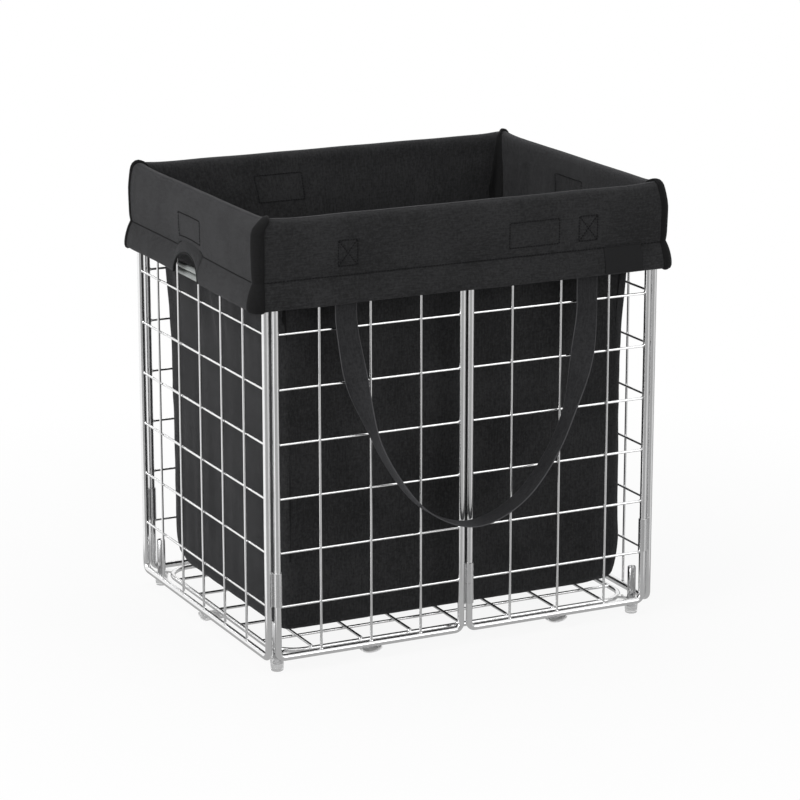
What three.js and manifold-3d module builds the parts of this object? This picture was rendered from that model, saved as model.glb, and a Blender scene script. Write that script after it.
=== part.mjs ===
// A folding wire laundry hamper with a lift-out cloth liner. Millimetres, +Z up, the front faces -Y,
// and the origin is on the floor under the middle of the hamper.
// Six welded wire panels are joined by sheet clips round their posts, stand in cradles on a base grid,
// and carry a cloth bag whose turned-over cuff hides the top rails.

import * as THREE from "three";
import { mergeVertices } from "three/addons/utils/BufferGeometryUtils.js";
import Module from "manifold-3d";

const wasm = await Module();
wasm.setup();

// Cage: distances between the middle planes of facing panels, and the bars they are made of
const cageWidth = 494;
const cageDepth = 378;
const frameBar = 8;
const meshWire = 3;
const meshPitch = 63;
const weldSink = 0.4;
const bendRadius = 8;
const railHeight = 19.6;
const rowMargin = 59.9;
const rowCount = 7;
const frontPostInset = 10;
const sidePostInset = 4;
const centrePostSpacing = 10.5;

// Running gap between separate pieces
const clearance = 0.3;

// Sheet clips round the posts
const clipSheet = 0.8;
const clipPlay = 0.4;
const cornerClipLength = 39.7;
const centreClipLength = 24.2;
const centreClipDrop = 29.2;
const saddleHalfAngle = THREE.MathUtils.degToRad(50);

// Carry handles on the two side panels
const gripDiameter = 6.5;
const gripSpacing = 8;
const gripRise = 24.5;
const gripReach = 1;

// Base grid, its corner sockets, feet and cradles
const baseBar = 6;
const baseWire = 3.5;
const baseInset = 17.5;
const baseCornerRadius = 35;
const socketInset = 15;
const socketDiameter = 10;
const socketWall = 1;
const socketTop = 58;
const lugWidth = 8;
const lugThickness = 3;
const footTopDiameter = 16;
const footBottomDiameter = 14;
const footHeight = 15;
const footFloor = 5;
const cradleWidth = 26;
const cradleDrop = 5.5;
const cradleSheet = 1.5;

// Liner: the bag, the turned-over cuff, the carry straps and the bare label patch
const bagInset = 20;
const bagWall = 2;
const bagBottom = 38;
const bagCornerRadius = 25;
const bagEdgeRadius = 15;
const bagShoulder = 90;
const rimRadius = 3;
const leafStandoff = 1.9;
const leafThickness = 2;
const leafCornerRadius = 12;
const returnDepth = 22;
const cuffDrop = 98.5;
const hemHeight = 27;
const hemFlare = 4.1;
const archWidth = 66;
const archHeight = 28;
const strapWidth = 27;
const strapThickness = 1.5;
const strapSpread = 153;
const strapTop = 490;
const strapLow = 152;
const strapStandout = 20;
const labelWidth = 48;
const labelHeight = 29;
const labelThickness = 0.8;
const labelInset = 50;

// Facets
const barSides = 8;
const wireSides = 6;
const bendSteps = 3;
const tubeSides = 16;
const clipSegments = 12;
const strapSteps = 15;

// Worked out from the sizes above
const halfWidth = cageWidth / 2;
const halfDepth = cageDepth / 2;
const barRadius = frameBar / 2;
const wireRadius = meshWire / 2;
const wireOffset = (meshWire - weldSink) / 2;
const firstRow = railHeight + rowMargin;
const lastRow = firstRow + (rowCount - 1) * meshPitch;
const topRail = lastRow + rowMargin;
const railBottom = railHeight - barRadius;
const cageTop = topRail + barRadius;
const halfPanelSpan = halfWidth - frontPostInset - centrePostSpacing / 2;
const halfPanelMiddle = (halfWidth - frontPostInset + centrePostSpacing / 2) / 2;
const sidePanelSpan = cageDepth - 2 * sidePostInset;
const clipInner = barRadius + clipPlay;
const clipOuter = clipInner + clipSheet;
const labelPlace = halfWidth - labelInset;
const rowHeights = Array.from({ length: rowCount }, (_, row) => firstRow + row * meshPitch);

const steel = new THREE.MeshStandardMaterial({ color: 0xb9bcbf, metalness: 0.95, roughness: 0.28 });
const gripWrap = new THREE.MeshStandardMaterial({ color: 0x94999a, metalness: 0.1, roughness: 0.7 });
const clearPlastic = new THREE.MeshStandardMaterial({ color: 0xe4e8ea, metalness: 0, roughness: 0.2 });
const blackCloth = new THREE.MeshStandardMaterial({ color: 0x2a2b2d, metalness: 0, roughness: 0.9 });
const blackWebbing = new THREE.MeshStandardMaterial({ color: 0x1f2022, metalness: 0, roughness: 0.8 });

const hamper = new THREE.Group();

// A closed geometry as a manifold solid.
function solidOf(geometry) {
  const bare = geometry.index ? geometry.toNonIndexed() : geometry.clone();
  const positions = new THREE.BufferGeometry().setAttribute("position", bare.getAttribute("position"));
  const merged = mergeVertices(positions, weldSink / 1000);
  return new wasm.Manifold(
    new wasm.Mesh({
      numProp: 3,
      vertProperties: merged.attributes.position.array,
      triVerts: new Uint32Array(merged.index.array),
    }),
  );
}

// A manifold solid as a geometry.
function geometryOf(solid) {
  const mesh = solid.getMesh();
  const geometry = new THREE.BufferGeometry();
  geometry.setAttribute("position", new THREE.BufferAttribute(mesh.vertProperties, 3));
  geometry.setIndex(new THREE.BufferAttribute(mesh.triVerts, 1));
  geometry.computeVertexNormals();
  return geometry;
}

function joined(solids) {
  return solids.reduce((whole, solid) => whole.add(solid));
}

function addPiece(group, name, material, solid) {
  const mesh = new THREE.Mesh(geometryOf(solid), material);
  mesh.name = name;
  group.add(mesh);
  return mesh;
}

// Skins a list of rings of points: the first and last rings are capped, or joined when closed.
function skin(rings, closed) {
  const sides = rings[0].length;
  const positions = rings.flat().flatMap((point) => [point.x, point.y, point.z]);
  const indices = [];
  const bands = closed ? rings.length : rings.length - 1;
  for (let band = 0; band < bands; band += 1) {
    const here = band * sides;
    const next = ((band + 1) % rings.length) * sides;
    for (let side = 0; side < sides; side += 1) {
      const beside = (side + 1) % sides;
      indices.push(here + side, here + beside, next + side);
      indices.push(here + beside, next + beside, next + side);
    }
  }
  if (!closed) {
    const last = (rings.length - 1) * sides;
    for (let side = 1; side < sides - 1; side += 1) {
      indices.push(0, side + 1, side);
      indices.push(last, last + side, last + side + 1);
    }
  }
  const geometry = new THREE.BufferGeometry();
  geometry.setAttribute("position", new THREE.BufferAttribute(new Float32Array(positions), 3));
  geometry.setIndex(indices);
  return solidOf(geometry);
}

// A straight round rod between two points.
function rod(from, to, diameter, sides) {
  const length = from.distanceTo(to);
  const geometry = new THREE.CylinderGeometry(diameter / 2, diameter / 2, length, sides);
  const along = new THREE.Vector3().subVectors(to, from).normalize();
  const turn = new THREE.Quaternion().setFromUnitVectors(new THREE.Vector3(0, 1, 0), along);
  const middle = new THREE.Vector3().addVectors(from, to).multiplyScalar(1 / 2);
  geometry.applyMatrix4(new THREE.Matrix4().compose(middle, turn, new THREE.Vector3(1, 1, 1)));
  return solidOf(geometry);
}

// A box given by its lowest and highest corners.
function block(low, high) {
  const size = new THREE.Vector3().subVectors(high, low);
  const geometry = new THREE.BoxGeometry(size.x, size.y, size.z);
  const middle = new THREE.Vector3().addVectors(low, high).multiplyScalar(1 / 2);
  geometry.translate(middle.x, middle.y, middle.z);
  return solidOf(geometry);
}

// A flat outline, given as a shape, raised from one height to another.
function raised(shape, low, high, curveSegments) {
  const geometry = new THREE.ExtrudeGeometry(shape, { depth: high - low, bevelEnabled: false, curveSegments });
  geometry.translate(0, 0, low);
  return solidOf(geometry);
}

// Points of a rounded rectangle, with the outward direction at each, counterclockwise from above.
function roundedRectangle(halfX, halfY, radius, steps) {
  const quarters = [
    [1, 1],
    [-1, 1],
    [-1, -1],
    [1, -1],
  ];
  return quarters.flatMap(([signX, signY], quarter) =>
    Array.from({ length: steps + 1 }, (_, step) => {
      const angle = ((quarter + step / steps) * Math.PI) / 2;
      const out = new THREE.Vector2(Math.cos(angle), Math.sin(angle));
      const centreX = signX * (halfX - radius);
      const centreY = signY * (halfY - radius);
      return { x: centreX + radius * out.x, y: centreY + radius * out.y, out };
    }),
  );
}

// Places of the wires in a mesh: symmetric about its middle, as many as fit inside the bar at each end.
function wirePlaces(halfReach, bar) {
  const each = Math.floor((halfReach - bar) / meshPitch);
  return Array.from({ length: 2 * each + 1 }, (_, wire) => (wire - each) * meshPitch);
}

// A closed loop of round bar round a rounded rectangle that stands in the local XZ plane.
function standingLoop(halfX, low, high, diameter) {
  const middle = (low + high) / 2;
  const stations = roundedRectangle(halfX, (high - low) / 2, bendRadius, bendSteps);
  const rings = stations.map((station) =>
    Array.from({ length: barSides }, (_, side) => {
      const angle = ((side + 1 / 2) * 2 * Math.PI) / barSides;
      const outward = (diameter / 2) * Math.cos(angle);
      const across = (diameter / 2) * Math.sin(angle);
      const x = station.x + outward * station.out.x;
      const z = middle + station.y + outward * station.out.y;
      return new THREE.Vector3(x, -across, z);
    }),
  );
  return skin(rings.reverse(), true);
}

// A closed loop of round bar lying flat at one height.
function lyingLoop(halfX, halfY, radius, height, diameter) {
  const stations = roundedRectangle(halfX, halfY, radius, 2 * bendSteps);
  const rings = stations.map((station) =>
    Array.from({ length: barSides }, (_, side) => {
      const angle = ((side + 1 / 2) * 2 * Math.PI) / barSides;
      const outward = (diameter / 2) * Math.cos(angle);
      const x = station.x + outward * station.out.x;
      const y = station.y + outward * station.out.y;
      return new THREE.Vector3(x, y, height + (diameter / 2) * Math.sin(angle));
    }),
  );
  return skin(rings.reverse(), true);
}

// Welded wire panel

// The panel stands in its own XZ plane with its outer face towards -Y. Uprights lie on the outer side of
// the rows. trimmedEnd is the side, -1 or 1, where a clip barrel stands at the height of the end rows.
function wirePanel({ span, trimmedEnd, handle }) {
  const halfSpan = span / 2;
  const pieces = [standingLoop(halfSpan, railHeight, topRail, frameBar)];
  const row = (from, to, height) =>
    rod(
      new THREE.Vector3(from, wireOffset, height),
      new THREE.Vector3(to, wireOffset, height),
      meshWire,
      wireSides,
    );
  const trimmed = halfSpan - clipOuter - clearance;
  rowHeights.forEach((height, index) => {
    const atClip = index === 0 || index === rowCount - 1;
    const left = atClip && trimmedEnd === -1 ? -trimmed : -halfSpan;
    const right = atClip && trimmedEnd === 1 ? trimmed : halfSpan;
    if (handle && index === rowCount - 1) {
      pieces.push(row(left, -meshPitch - wireRadius, height));
      pieces.push(row(meshPitch + wireRadius, right, height));
    } else {
      pieces.push(row(left, right, height));
    }
  });
  for (const place of wirePlaces(halfSpan, frameBar)) {
    const top = handle && place === 0 ? gripHeights[0] - gripDiameter / 2 - clearance : topRail;
    pieces.push(
      rod(
        new THREE.Vector3(place, -wireOffset, railHeight),
        new THREE.Vector3(place, -wireOffset, top),
        meshWire,
        wireSides,
      ),
    );
  }
  if (handle) {
    gripHeights.forEach((height) =>
      pieces.push(row(-meshPitch - wireRadius, meshPitch + wireRadius, height)),
    );
  }
  return joined(pieces);
}

const gripHeights = [0, 1].map((level) => rowHeights[rowCount - 2] + gripRise + level * gripSpacing);

// A tube of wrapped sheet round one of the two handle wires, with eased ends.
function grip(height) {
  const reach = meshPitch - wireRadius - clearance;
  const bore = wireRadius + clearance;
  const radius = gripDiameter / 2;
  const profile = [
    new THREE.Vector2(bore, -reach),
    new THREE.Vector2(radius - gripReach, -reach),
    new THREE.Vector2(radius, -reach + gripReach),
    new THREE.Vector2(radius, reach - gripReach),
    new THREE.Vector2(radius - gripReach, reach),
    new THREE.Vector2(bore, reach),
    new THREE.Vector2(bore, -reach),
  ];
  const geometry = new THREE.LatheGeometry(profile, clipSegments);
  geometry.rotateZ(-Math.PI / 2);
  geometry.translate(0, wireOffset, height);
  return solidOf(geometry);
}

// Sheet clips

// A barrel round the post at turning, a web, and a saddle that clasps the post at held.
function clip(turning, held, low, length) {
  const towards = Math.atan2(held.y - turning.y, held.x - turning.x);
  const spacing = Math.hypot(held.x - turning.x, held.y - turning.y);
  const barrel = new THREE.Shape();
  barrel.absarc(0, 0, clipOuter, 0, 2 * Math.PI, false);
  const bore = new THREE.Path();
  bore.absarc(0, 0, clipInner, 0, 2 * Math.PI, true);
  barrel.holes.push(bore);
  const saddle = new THREE.Shape();
  saddle.absarc(spacing, 0, clipOuter, Math.PI - saddleHalfAngle, Math.PI + saddleHalfAngle, false);
  saddle.absarc(spacing, 0, clipInner, Math.PI + saddleHalfAngle, Math.PI - saddleHalfAngle, true);
  saddle.closePath();
  const middleOfSheet = (clipInner + clipOuter) / 2;
  const web = block(
    new THREE.Vector3(middleOfSheet, -clipSheet, low),
    new THREE.Vector3(spacing - middleOfSheet, clipSheet, low + length),
  );
  const whole = joined([
    raised(barrel, low, low + length, clipSegments / 2),
    raised(saddle, low, low + length, clipSegments / 2),
    web,
  ]);
  const placed = geometryOf(whole);
  placed.rotateZ(towards);
  placed.translate(turning.x, turning.y, 0);
  return solidOf(placed);
}

// Base grid

function baseGrid() {
  const loopX = halfWidth - baseInset;
  const loopY = halfDepth - baseInset;
  const crossHeight = baseHeight + (baseBar + baseWire) / 2 - weldSink;
  const longHeight = crossHeight - baseWire + weldSink;
  const pieces = [lyingLoop(loopX, loopY, baseCornerRadius, baseHeight, baseBar)];
  const reach = loopY + baseWire / 2;
  for (const x of wirePlaces(loopX, baseBar)) {
    pieces.push(
      rod(
        new THREE.Vector3(x, -reach, crossHeight),
        new THREE.Vector3(x, reach, crossHeight),
        baseWire,
        wireSides,
      ),
    );
  }
  for (const y of wirePlaces(loopY, baseBar)) {
    pieces.push(
      rod(
        new THREE.Vector3(-loopX, y, longHeight),
        new THREE.Vector3(loopX, y, longHeight),
        baseWire,
        wireSides,
      ),
    );
  }
  corners.forEach(({ signX, signY }) => pieces.push(cornerLug(signX, signY)));
  return joined(pieces);
}

const baseHeight = railBottom + baseBar / 2;
const corners = [
  { name: "front_left", signX: -1, signY: -1 },
  { name: "front_right", signX: 1, signY: -1 },
  { name: "back_left", signX: -1, signY: 1 },
  { name: "back_right", signX: 1, signY: 1 },
];

// A flat lug that reaches from the loop's corner to the socket tube.
function cornerLug(signX, signY) {
  const socketX = halfWidth - socketInset;
  const socketY = halfDepth - socketInset;
  const arcMiddle = baseInset + baseCornerRadius * (1 - Math.SQRT1_2);
  const inner = (arcMiddle - socketInset) * Math.SQRT2;
  const outer = socketDiameter / 2 + clearance;
  const lug = new THREE.BoxGeometry(inner - outer, lugWidth, lugThickness);
  lug.translate((inner + outer) / 2, 0, 0);
  lug.rotateZ(Math.atan2(-signY, -signX));
  lug.translate(signX * socketX, signY * socketY, baseHeight);
  return solidOf(lug);
}

function turnedRing(profile, x, y) {
  const geometry = new THREE.LatheGeometry(profile, tubeSides);
  geometry.rotateX(Math.PI / 2);
  geometry.translate(x, y, 0);
  return solidOf(geometry);
}

function socketTube(x, y) {
  const outer = socketDiameter / 2;
  const inner = outer - socketWall;
  const low = footFloor + clearance;
  const profile = [
    new THREE.Vector2(inner, low),
    new THREE.Vector2(outer, low),
    new THREE.Vector2(outer, socketTop),
    new THREE.Vector2(inner, socketTop),
    new THREE.Vector2(inner, low),
  ];
  return turnedRing(profile, x, y);
}

// A clear cup that the tube's lower end stands in.
function foot(x, y) {
  const bore = socketDiameter / 2 + clearance;
  const profile = [
    new THREE.Vector2(0, 0),
    new THREE.Vector2(footBottomDiameter / 2, 0),
    new THREE.Vector2(footTopDiameter / 2, footHeight),
    new THREE.Vector2(bore, footHeight),
    new THREE.Vector2(bore, footFloor),
    new THREE.Vector2(0, footFloor),
  ];
  return turnedRing(profile, x, y);
}

// A half-round trough of sheet under the bottom rail and the base loop, drawn for the front.
function cradle() {
  const halfCradle = cradleWidth / 2;
  const outline = new THREE.Shape();
  outline.absellipse(0, 0, halfCradle, cradleDrop, Math.PI, 2 * Math.PI, false, 0);
  outline.absellipse(0, 0, halfCradle - cradleSheet, cradleDrop - cradleSheet, 2 * Math.PI, Math.PI, true, 0);
  outline.closePath();
  const reach = barRadius + baseInset + baseBar / 2;
  const geometry = new THREE.ExtrudeGeometry(outline, {
    depth: reach,
    bevelEnabled: false,
    curveSegments: clipSegments / 2,
  });
  geometry.rotateX(Math.PI / 2);
  geometry.translate(0, reach - barRadius, railBottom - clearance);
  return solidOf(geometry);
}

// Liner

const cuffBottom = cageTop + clearance + leafThickness - cuffDrop;
const leafInner = barRadius + leafStandoff;
const leafOuter = leafInner + leafThickness;

// One level of the bag: a rounded rectangle of points set in from the panel planes.
function bagRing(inset, height, extraRadius) {
  const radius = bagCornerRadius + extraRadius;
  const outline = roundedRectangle(halfWidth - inset, halfDepth - inset, radius, 2 * bendSteps);
  return outline.map(({ x, y }) => new THREE.Vector3(x, y, height));
}

function bag() {
  const topInset = leafOuter + clearance;
  const rim = cageTop;
  const outerRings = [];
  const innerRings = [];
  for (let step = 0; step <= bendSteps; step += 1) {
    const angle = ((step / bendSteps) * Math.PI) / 2;
    const inward = bagEdgeRadius * (1 - Math.sin(angle));
    const drop = bagEdgeRadius * Math.cos(angle);
    outerRings.push(bagRing(bagInset + inward, bagBottom + bagEdgeRadius - drop, -inward));
    innerRings.push(bagRing(bagInset + bagWall + inward, bagBottom + bagWall + bagEdgeRadius - drop, -inward));
  }
  outerRings.push(bagRing(bagInset, rim - bagShoulder, 0));
  outerRings.push(bagRing(topInset, rim, rimRadius - bagCornerRadius));
  innerRings.push(bagRing(bagInset + bagWall, rim - bagShoulder, 0));
  innerRings.push(bagRing(topInset + bagWall, rim, rimRadius - bagCornerRadius));
  return skin([...outerRings, ...innerRings.reverse()], false);
}

// A flat ring between two offsets from the panel planes, raised between two heights.
function cuffBand(innerOffset, outerOffset, low, high) {
  const edge = (offset) => {
    const radius = leafCornerRadius + offset - leafOuter;
    const round = Math.max(radius, leafThickness);
    const points = roundedRectangle(halfWidth + offset, halfDepth + offset, round, bendSteps);
    return points.map(({ x, y }) => new THREE.Vector2(x, y));
  };
  const shape = new THREE.Shape(edge(outerOffset));
  shape.holes.push(new THREE.Path(edge(innerOffset)));
  return raised(shape, low, high, bendSteps);
}

function wholeCuff() {
  const roll = cageTop + clearance;
  const rollTop = roll + leafThickness;
  const arch = archCutter();
  const leaf = cuffBand(leafInner, leafOuter, cuffBottom, rollTop);
  const hem = cuffBand(leafInner, leafOuter + hemFlare, cuffBottom, cuffBottom + hemHeight);
  const over = cuffBand(-leafOuter, leafOuter, roll, rollTop);
  const inside = cuffBand(-leafOuter, -leafInner, rollTop - returnDepth, rollTop);
  return joined([leaf, hem, over, inside]).subtract(arch);
}

// The arch that is cut in the hem over each handle.
function archCutter() {
  const halfArch = archWidth / 2;
  const outline = new THREE.Shape();
  outline.absellipse(0, 0, halfArch, archHeight, 0, Math.PI, false, 0);
  outline.lineTo(-halfArch, -hemHeight);
  outline.lineTo(halfArch, -hemHeight);
  outline.closePath();
  const length = 2 * (cageWidth + hemFlare);
  const geometry = new THREE.ExtrudeGeometry(outline, {
    depth: length,
    bevelEnabled: false,
    curveSegments: clipSegments,
  });
  geometry.translate(0, 0, -length / 2);
  geometry.rotateX(Math.PI / 2);
  geometry.rotateZ(Math.PI / 2);
  geometry.translate(0, 0, cuffBottom);
  return solidOf(geometry);
}

// The six pieces of the cuff meet at mitred corners and at the two centre folds.
function cuffPiece(whole, corner) {
  const outward = cageDepth;
  const inward = -halfDepth / 2;
  const gap = clearance / 2;
  const mitre = (signY, along) => [corner.signX * (halfWidth + along), signY * (halfDepth + along)];
  const mitreGap = gap * Math.SQRT2;
  const points =
    corner.signY === 0
      ? [mitre(-1, outward), mitre(-1, inward), mitre(1, inward), mitre(1, outward)].map(([x, y]) => [
          x,
          y - Math.sign(y) * mitreGap,
        ])
      : [
          ...[mitre(corner.signY, outward), mitre(corner.signY, inward)].map(([x, y]) => [
            x - corner.signX * mitreGap,
            y,
          ]),
          [corner.signX * gap, corner.signY * (halfDepth + inward)],
          [corner.signX * gap, corner.signY * (halfDepth + outward)],
        ];
  const shape = new THREE.Shape(points.map(([x, y]) => new THREE.Vector2(x, y)));
  return whole.intersect(raised(shape, 0, cageTop + cuffDrop, bendSteps));
}

// The carry strap hangs in a U. It leaves the cuff flat against the cage and turns edge-on as it sags.
function strap() {
  const flat = barRadius + leafStandoff - clearance / 2 - strapThickness / 2;
  const emerge = cuffBottom;
  const sag = emerge - strapLow;
  const half = [
    new THREE.Vector3(-strapSpread, flat, strapTop),
    new THREE.Vector3(-strapSpread, flat, (strapTop + emerge) / 2),
    new THREE.Vector3(-strapSpread, flat, emerge),
    ...strapSagShares.map(
      ({ spreadShare, outShare, sagShare }) =>
        new THREE.Vector3(
          -strapSpread * spreadShare,
          flat + (strapStandout - flat) * outShare,
          emerge - sag * sagShare,
        ),
    ),
  ];
  const bottom = new THREE.Vector3(0, strapStandout, strapLow);
  const mirrored = half.map((point) => new THREE.Vector3(-point.x, point.y, point.z)).reverse();
  const curve = new THREE.CatmullRomCurve3([...half, bottom, ...mirrored]);
  const rings = [];
  const steps = 2 * strapSteps;
  for (let step = 0; step <= steps; step += 1) {
    const share = step / steps;
    const centre = curve.getPointAt(share);
    const tangent = curve.getTangentAt(share);
    const turn = strapTurn(centre.z, emerge, sag);
    const level = new THREE.Vector3(0, 0, 1).cross(tangent).setZ(0);
    const across = new THREE.Vector3(Math.cos(turn), Math.sin(turn), 0);
    if (level.length() > 0) across.addScaledVector(tangent, -across.dot(tangent)).normalize();
    const thick = new THREE.Vector3().crossVectors(tangent, across).normalize();
    const corner = (sideways, through) =>
      new THREE.Vector3()
        .copy(centre)
        .addScaledVector(across, (sideways * strapWidth) / 2)
        .addScaledVector(thick, (through * strapThickness) / 2);
    rings.push([corner(-1, -1), corner(1, -1), corner(1, 1), corner(-1, 1)]);
  }
  const toFront = (point) => new THREE.Vector3(point.x, -halfDepth - point.y, point.z);
  return rings.reverse().map((ring) => ring.map(toFront));
}

const strapSagShares = [
  { spreadShare: 1, outShare: 0, sagShare: 0.06 },
  { spreadShare: 0.985, outShare: 0.25, sagShare: 0.17 },
  { spreadShare: 0.9, outShare: 0.65, sagShare: 0.42 },
  { spreadShare: 0.7, outShare: 0.95, sagShare: 0.7 },
  { spreadShare: 0.38, outShare: 1, sagShare: 0.92 },
];
const strapTurnStartShare = 0.12;
const strapTurnEndShare = 0.62;

// The webbing turns from flat to edge-on, a quarter turn, between two shares of the sag.
function strapTurn(height, emerge, sag) {
  const fallen = (emerge - height) / sag;
  const share = (fallen - strapTurnStartShare) / (strapTurnEndShare - strapTurnStartShare);
  return (Math.PI / 2) * THREE.MathUtils.smoothstep(share, 0, 1);
}

function labelPatch() {
  const face = halfDepth + leafOuter + hemFlare + clearance;
  return block(
    new THREE.Vector3(labelPlace - labelWidth / 2, -face - labelThickness, cuffBottom),
    new THREE.Vector3(labelPlace + labelWidth / 2, -face, cuffBottom + labelHeight),
  );
}

// Assembly

// A group for what belongs to one wall: angle 0 is the front, and the wall's outer face stays outermost.
function wall(quarterTurns) {
  const group = new THREE.Group();
  const distance = quarterTurns % 2 === 0 ? halfDepth : halfWidth;
  group.rotation.z = (quarterTurns * Math.PI) / 2;
  group.position.set(distance * Math.sin(group.rotation.z), -distance * Math.cos(group.rotation.z), 0);
  hamper.add(group);
  return group;
}

const walls = { front: wall(0), right: wall(1), back: wall(2), left: wall(3) };

for (const side of ["left", "right"]) {
  const panel = wirePanel({ span: sidePanelSpan, trimmedEnd: 0, handle: true });
  addPiece(walls[side], side + "_panel", steel, panel);
  addPiece(walls[side], "grip_" + side + "_lower", gripWrap, grip(gripHeights[0]));
  addPiece(walls[side], "grip_" + side + "_upper", gripWrap, grip(gripHeights[1]));
  addPiece(walls[side], "cradle_" + side, steel, cradle());
}

// Seen from outside, each front or back wall has a left-hand and a right-hand half.
const halves = [
  { wall: "front", name: "front_left", hand: -1 },
  { wall: "front", name: "front_right", hand: 1 },
  { wall: "back", name: "back_right", hand: -1 },
  { wall: "back", name: "back_left", hand: 1 },
];
for (const half of halves) {
  const place = new THREE.Group();
  place.position.x = half.hand * halfPanelMiddle;
  walls[half.wall].add(place);
  const trimmedEnd = half.hand === 1 ? -1 : 0;
  const panel = wirePanel({ span: halfPanelSpan, trimmedEnd, handle: false });
  addPiece(place, half.name + "_panel", steel, panel);
  addPiece(place, "cradle_" + half.name, steel, cradle());
}

for (const name of ["front", "back"]) {
  const turning = new THREE.Vector2(centrePostSpacing / 2, 0);
  const held = new THREE.Vector2(-centrePostSpacing / 2, 0);
  const starts = [firstRow - centreClipDrop, lastRow - centreClipDrop];
  const lows = starts.flatMap((low) => [low, low + centreClipLength + clearance]);
  lows.forEach((low, index) => {
    const piece = clip(turning, held, low, centreClipLength);
    addPiece(walls[name], name + "_centre_clip_" + (index + 1), steel, piece);
  });
}

for (const corner of corners) {
  const turning = new THREE.Vector2(corner.signX * (halfWidth - frontPostInset), corner.signY * halfDepth);
  const held = new THREE.Vector2(corner.signX * halfWidth, corner.signY * (halfDepth - sidePostInset));
  const above = wireRadius + clearance;
  const lower = clip(turning, held, firstRow + above, cornerClipLength);
  const upper = clip(turning, held, lastRow + above, cornerClipLength);
  addPiece(hamper, "corner_clip_" + corner.name + "_lower", steel, lower);
  addPiece(hamper, "corner_clip_" + corner.name + "_upper", steel, upper);
  const x = corner.signX * (halfWidth - socketInset);
  const y = corner.signY * (halfDepth - socketInset);
  addPiece(hamper, "socket_" + corner.name, steel, socketTube(x, y));
  addPiece(hamper, "foot_" + corner.name, clearPlastic, foot(x, y));
}

addPiece(hamper, "base_grid", steel, baseGrid());
addPiece(hamper, "bag", blackCloth, bag());

const cuff = wholeCuff();
for (const corner of corners) {
  addPiece(hamper, "cuff_" + corner.name, blackCloth, cuffPiece(cuff, corner));
}
addPiece(hamper, "cuff_left", blackCloth, cuffPiece(cuff, { signX: -1, signY: 0 }));
addPiece(hamper, "cuff_right", blackCloth, cuffPiece(cuff, { signX: 1, signY: 0 }));

const strapRings = strap();
addPiece(hamper, "strap_front", blackWebbing, skin(strapRings, false));
const turned = strapRings.map((ring) => ring.map((point) => new THREE.Vector3(-point.x, -point.y, point.z)));
addPiece(hamper, "strap_back", blackWebbing, skin(turned, false));
addPiece(hamper, "label_patch", blackCloth, labelPatch());

export default hamper;
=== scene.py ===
# A folding wire laundry hamper with a lift-out cloth liner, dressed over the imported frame.
# Metres, +Z up, the front faces -Y. Sizes are written in millimetres and multiplied by MM.

import math

import bmesh
import bpy
import numpy as np
from mathutils import Matrix, Vector, noise


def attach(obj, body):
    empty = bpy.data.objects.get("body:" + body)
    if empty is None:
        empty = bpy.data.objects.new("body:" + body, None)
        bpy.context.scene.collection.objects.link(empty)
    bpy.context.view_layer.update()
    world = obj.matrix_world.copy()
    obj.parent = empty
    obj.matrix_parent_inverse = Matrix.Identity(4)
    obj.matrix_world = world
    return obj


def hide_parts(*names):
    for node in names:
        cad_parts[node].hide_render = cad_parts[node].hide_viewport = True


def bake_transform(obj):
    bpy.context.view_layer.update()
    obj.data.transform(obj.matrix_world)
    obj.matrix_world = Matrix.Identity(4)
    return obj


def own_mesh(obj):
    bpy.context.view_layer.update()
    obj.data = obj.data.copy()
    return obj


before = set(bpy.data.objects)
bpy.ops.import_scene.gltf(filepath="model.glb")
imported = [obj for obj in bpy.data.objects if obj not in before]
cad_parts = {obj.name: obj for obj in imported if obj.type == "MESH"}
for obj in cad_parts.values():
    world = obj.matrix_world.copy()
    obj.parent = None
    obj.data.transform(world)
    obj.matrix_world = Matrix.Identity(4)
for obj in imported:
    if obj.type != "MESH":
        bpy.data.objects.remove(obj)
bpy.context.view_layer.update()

MM = 0.001
UV_STEP = 0.01
MERGE_DISTANCE = 1e-7

# Cage
HALF_WIDTH = 247 * MM
HALF_DEPTH = 189 * MM
BAR = 4 * MM
WIRE = 1.5 * MM
WELD = 1.3 * MM
PITCH = 63 * MM
BEND = 8 * MM
LOW_RAIL = 19.6 * MM
TOP_RAIL = 517.4 * MM
FIRST_ROW = 79.5 * MM
ROWS = 7
FRONT_POST_INSET = 10 * MM
SIDE_POST_INSET = 4 * MM
CENTRE_SPACING = 10.5 * MM
GAP = 0.3 * MM
CLIP_INNER = 4.4 * MM
CLIP_OUTER = 5.2 * MM
CLIP_LENGTH = 39.7 * MM
CENTRE_CLIP_LENGTH = 24.2 * MM
CENTRE_CLIP_DROP = 29.2 * MM
GRIP = 3.25 * MM
GRIP_HEIGHTS = (419 * MM, 427 * MM)
GRIP_END = 1.6 * MM
GRIP_LIP = 0.4 * MM
GRIP_PLAY = 0.25 * MM
GRIP_THREAD = 3.4 * MM
SADDLE_TURN = 52
CLIP_SHARP = 30
CROSS_WELD = (1.75 * MM, 1.5 * MM, 1.75 * MM)
RAIL_WELD = (2.3 * MM, 1.9 * MM, 1.6 * MM)
POST_WELD = (1.6 * MM, 1.9 * MM, 2.2 * MM)
BAR_SIDES = 24
WIRE_SIDES = 14

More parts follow.
